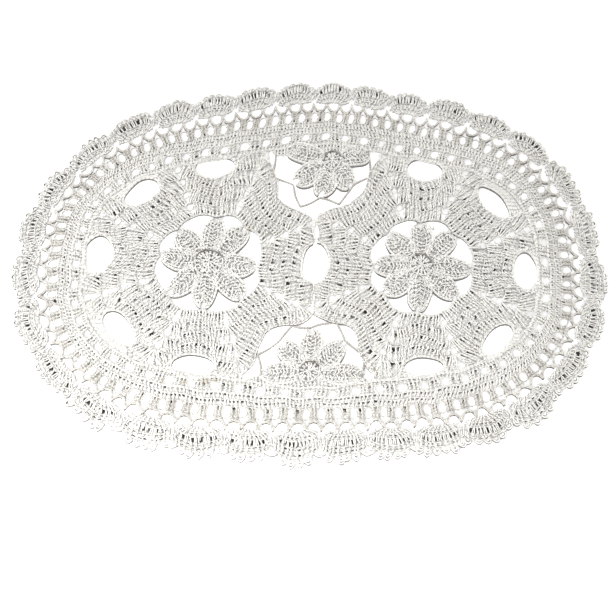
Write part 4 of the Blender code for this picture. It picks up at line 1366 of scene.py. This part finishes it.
    def blocks(self, skein: Skein, k: int) -> None:
        """The pairs of trebles between the windows."""
        half = self.window_width / PITCH / 2.0
        for i in range(3):
            edges = np.linspace(k + (i - 0.5) / 3.0 + half, k + (i + 0.5) / 3.0 - half, 3)
            skein.work(border_row(edges, *self.windows), Stitch.TREBLE)
            self.round_gap(skein, k + (i + 0.5) / 3.0, self.windows, self.window_width, 0.0001)

    def arches(self, skein: Skein, edges: Skein, k: int) -> None:
        """The chain arches over the blocks, each with a strand of painted shadow along its near side."""
        share = np.array([-0.5, -0.44, -0.34, -0.20, 0.0, 0.20, 0.34, 0.44, 0.5])
        rise = np.array([0.0, 0.35, 0.72, 0.93, 1.0, 0.93, 0.72, 0.35, 0.0])
        for i in range(3):
            depth = self.arch_foot + (self.arch_top - self.arch_foot) * rise * skein.hand.normal(1.0, 0.06)
            aside = skein.hand.normal(0.0, 0.05) * rise
            line = PLAN.border(k + (i + share + aside) / 3.0, depth)
            skein.chain(line, height=0.0014)
            edges.edge(line, height=0.0009, drop=0.0010)

    def nearness(self, k: int) -> float:
        """How much a scallop is like those of the near side, whose picots stand out most."""
        return 1.0 if 5 <= k <= 12 else 0.25 if 19 <= k <= 29 else 0.5

    def rim_depth(self, k: int, share: Array) -> Array:
        """How deep the border is at the tops of a scallop's picots, from -1 to 1 across it."""
        notch = self.notches[0] + self.notches[1] * (self.nearness(k) == 1.0)
        swell = np.maximum(0.0, 1.0 - np.abs(share) ** 2.4) ** 0.6
        return notch + (self.tips[k] - notch) * swell

    def scallop(self, skein: Skein, k: int) -> None:
        """One scallop: its fan, the row of slits and the rim."""
        shift = self.slit_shift * (1.0 - self.nearness(k))
        arcs = [(top + shift * i / 3.0, end, reach) for i, (top, end, reach) in enumerate(self.fan_rows)]
        for low, high, count, look in zip(arcs, arcs[1:], self.fan_stitches, self.fan_looks):
            full, wide, loose, shade = look
            places = self.uneven(skein, count)
            if shade is Shade.SLITS:
                places = np.arcsin(np.clip(places * self.slit_reach, -1.0, 1.0)) / (math.pi / 2.0)
            skein.work(Row(self.fan_arc(k, places, low), self.fan_arc(k, places, high)),
                       Stitch.DOUBLE_CROCHET, full=full, wide=wide, loose=loose, shade=shade,
                       twist=self.slit_twist if shade is Shade.SLITS else None)
        for i in range(self.rim_rows):
            places = self.uneven(skein, self.rim_stitches)
            base, head = self.fan_arc(k, places, arcs[-1]), self.rim_line(k, np.sin(math.pi / 2.0 * places))
            low, high = (base + (head - base) * (i + step) / self.rim_rows for step in (0.0, 1.0))
            skein.work(Row(low, high), Stitch.DOUBLE_CROCHET, loose=1.3)

    def uneven(self, skein: Skein, count: int) -> Array:
        """Places of the edges of stitches from -1 to 1, parted as unevenly as the hand parts them."""
        edges = np.linspace(-1.0, 1.0, count + 1)
        edges[1:-1] += skein.hand.normal(0.0, 0.22 / count, count - 1)
        return edges

    def fan_arc(self, k: int, places: Array, arc: tuple[float, float, float]) -> Array:
        """Points of an arc of a scallop's fan, given by its depths at its top and ends and its reach."""
        top, end, reach = arc
        rise = np.maximum(0.0, np.cos(math.pi / 2.0 * places)) ** self.fan_bend
        return PLAN.border(k + reach * np.sin(math.pi / 2.0 * places), end + (top - end) * rise)

    def rim_line(self, k: int, share: Array) -> Array:
        """The line that the picots of a scallop stand on."""
        inset = self.picot_rise * self.nearness(k) * (1.0 - 0.5 * np.abs(share) ** 3)
        return PLAN.border(k + share * self.rim_reach, self.rim_depth(k, share * 0.98) - inset)

    def picot_loops(self, skein: Skein, edges: Skein, k: int) -> None:
        """The small bumps along a scallop's rim, the largest with a strand of painted shadow along its near
        side.
        """
        turn = np.linspace(0.0, math.pi, 7)
        runs = []
        near = self.nearness(k)
        half, rise = self.picot_half + self.picot_more * near, self.picot_rise * near + self.picot_least
        for share in np.linspace(-0.84, 0.84, self.picots) + skein.hand.normal(0.0, 0.03, self.picots):
            middle, ahead = self.rim_line(k, np.array([share, share + 0.02]))
            along = unit(ahead - middle)
            out = np.array([along[1], -along[0]])
            out = out if out @ middle > 0.0 else -out
            for part in self.picot_shares if near == 1.0 else self.picot_shares[::2]:
                tall = rise * part * skein.hand.normal(1.0, 0.08)
                loop = (middle + half * part * np.cos(turn)[:, None] * along
                        + tall * np.sin(turn)[:, None] * out)
                runs.append(np.column_stack([loop, 0.0011 + 0.0005 * np.sin(turn)]))
                if part == 1.0:
                    edges.edge(loop, drop=0.0006, step=0.0014)
        skein.lay(np.array(runs), skein.thread.radius * 1.5)


def dress(skeins: list[Skein], node: str, finishes: Finishes) -> list[str]:
    """Builds the skeins of one node, with one core that stands for its cloth.

    The cloth's area is taken as its core's, and raised to the least share of its box that a sheet may
    state where the core is less. That is so for the border alone, whose core covers less than its cloth.

    Args:
        skeins: The node's skeins.
        node: The node that they replace.
        finishes: The finishes of the pieces.

    Returns:
        The names of the pieces.
    """
    names = []
    pieces = [skein.build() for skein in skeins]
    gathered = Skein(node, skeins[0].thread, 0)
    gathered.cores = [band for skein in skeins for band in skein.cores]
    ground = gathered.build_core()
    ground.data.materials.append(finishes.core)
    for piece in pieces:
        piece.data.materials.append(finishes.of_thread(piece.name))
    for piece in (ground, *pieces):
        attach(piece, "root")
        names.append(piece.name)
    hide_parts(node)
    return names


@dataclass(frozen=True)
class Studio:
    """The floor, the lights and the camera."""

    focal_pixels: float = 800.0
    picture: int = 612
    sensor: float = 36.0
    pitch: float = math.radians(71.3)
    roll: float = math.radians(-2.1)
    yaw: float = math.radians(-4.1)
    distance: float = 7.44 * 0.082
    aim: tuple[float, float] = (-0.09 * 0.082, -0.41 * 0.082)
    glow: float = 0.30
    sky: tuple[float, float] = (0.84, 1.30)
    sky_span: tuple[float, float] = (-0.6, 1.0)
    sky_toward: tuple[float, float, float] = (-0.25, 0.80, 0.50)
    far_energy: float = 0.6
    near_energy: float = 2.8

    def build(self) -> None:
        """Builds all of it."""
        self.floor()
        self.lights()
        self.camera()

    def floor(self) -> None:
        """A plain pale floor."""
        mesh = bpy.data.meshes.new("floor")
        mesh.from_pydata([(x, y, 0.0) for x, y in ((-6, -6), (6, -6), (6, 6), (-6, 6))], [], [(0, 1, 2, 3)])
        made = bpy.data.materials.new("floor")
        made.use_nodes = True
        feed(made.node_tree, made.node_tree.nodes["Principled BSDF"], {
            "Base Color": (0.95, 0.95, 0.95, 1.0), "Roughness": 0.9, "Emission Color": (1.0, 1.0, 1.0, 1.0),
            "Emission Strength": self.glow})
        mesh.materials.append(made)
        floor = bpy.data.objects.new("floor", mesh)
        bpy.context.collection.objects.link(floor)

    def lights(self) -> None:
        """A soft sky, brighter on the far left, a broad lamp beyond the far side and one near the left."""
        world = bpy.data.worlds.new("studio")
        world.use_nodes = True
        tree = world.node_tree
        way = add_node(tree, "TexCoord")
        toward = add_node(tree, "VectorMath", {0: way.outputs["Generated"], 1: self.sky_toward},
                          operation="DOT_PRODUCT")
        strength = remap(tree, toward.outputs["Value"], self.sky_span, *self.sky)
        feed(tree, tree.nodes["Background"], {"Color": (1.0, 1.0, 1.0, 1.0), "Strength": strength})
        bpy.context.scene.world = world
        bpy.context.scene.view_settings.view_transform = "Standard"
        self.lamp("far_lamp", (-0.5, 1.3, 1.2), (1.0, 0.5), self.far_energy)
        self.lamp("near_lamp", (-0.22, -0.38, 0.34), (0.35, 0.25), self.near_energy)

    def lamp(self, name: str, place: tuple[float, float, float], size: tuple[float, float],
             energy: float) -> None:
        """An area lamp that points at the runner's middle."""
        lamp = bpy.data.lights.new(name, "AREA")
        lamp.shape, lamp.size, lamp.size_y, lamp.energy = "RECTANGLE", *size, energy
        holder = bpy.data.objects.new(name, lamp)
        holder.location = place
        holder.rotation_euler = (-holder.location).to_track_quat("-Z", "Y").to_euler()
        bpy.context.collection.objects.link(holder)

    def camera(self) -> None:
        """The camera, above the near side and a little turned."""
        turn = Matrix.Rotation(-self.yaw, 3, "Z")
        target = turn @ Vector((*self.aim, 0.0)) - Vector((*PLAN.middle, 0.0))
        right = turn @ Vector((1.0, 0.0, 0.0))
        back = turn @ Vector((0.0, -math.cos(self.pitch), math.sin(self.pitch)))
        above = back.cross(right)
        across = right * math.cos(self.roll) + above * math.sin(self.roll)
        upright = above * math.cos(self.roll) - right * math.sin(self.roll)
        lens = bpy.data.cameras.new("camera")
        lens.sensor_width = self.sensor
        lens.lens = self.focal_pixels * self.sensor / self.picture
        holder = bpy.data.objects.new("camera", lens)
        axes = Matrix((across, upright, back)).transposed().to_4x4()
        holder.matrix_world = Matrix.Translation(target + back * self.distance) @ axes
        bpy.context.collection.objects.link(holder)
        bpy.context.scene.camera = holder


def main() -> None:
    """Builds the runner, piece by piece, and the studio round it."""
    logging.basicConfig(level=logging.INFO, format="%(message)s")
    log = logging.getLogger("runner")
    effects = ThreadEffects()
    tone, fibre, marks = effects.tone(), effects.fibre(), effects.marks()
    # Painted shade: the net cords wear a darker thread, standing for the shade on thin strands over the
    # bright floor.
    worn = CottonThread(tone, fibre, marks, color=(0.60, 0.57, 0.52, 1.0), aged=(0.36, 0.33, 0.29, 1.0),
                        amount=0.9, name="worn_thread")
    # Painted shadow: a near-black thread for the strands laid along the near sides of edges.
    edge = CottonThread(tone, fibre, marks, color=(0.26, 0.24, 0.215, 1.0), aged=(0.10, 0.09, 0.075, 1.0),
                        amount=0.9, name="edge_thread")
    shaded = CottonThread(tone, fibre, marks, color=(0.78, 0.755, 0.705, 1.0), aged=(0.54, 0.51, 0.46, 1.0),
                          amount=0.8, name="shaded_thread")
    finishes = Finishes(CottonThread(tone, fibre, marks).material(), worn.material(), edge.material(),
                        shaded.material(), ShadedCore(tone, fibre).material())
    thread = Thread()
    parts = [*MEDALLIONS,
             HalfFlower("half_flower_near", "half_flower_bottom", NEAR_FLOWER, NEAR_ROUTES, 7.76),
             HalfFlower("half_flower_far", "half_flower_top", FAR_FLOWER, FAR_ROUTES, 23.74),
             Border()]
    for seed, part in enumerate(parts):
        for name in part.build(thread, finishes, 10 * seed + 1):
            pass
    Studio().build()


if __name__ == "__main__":
    main()
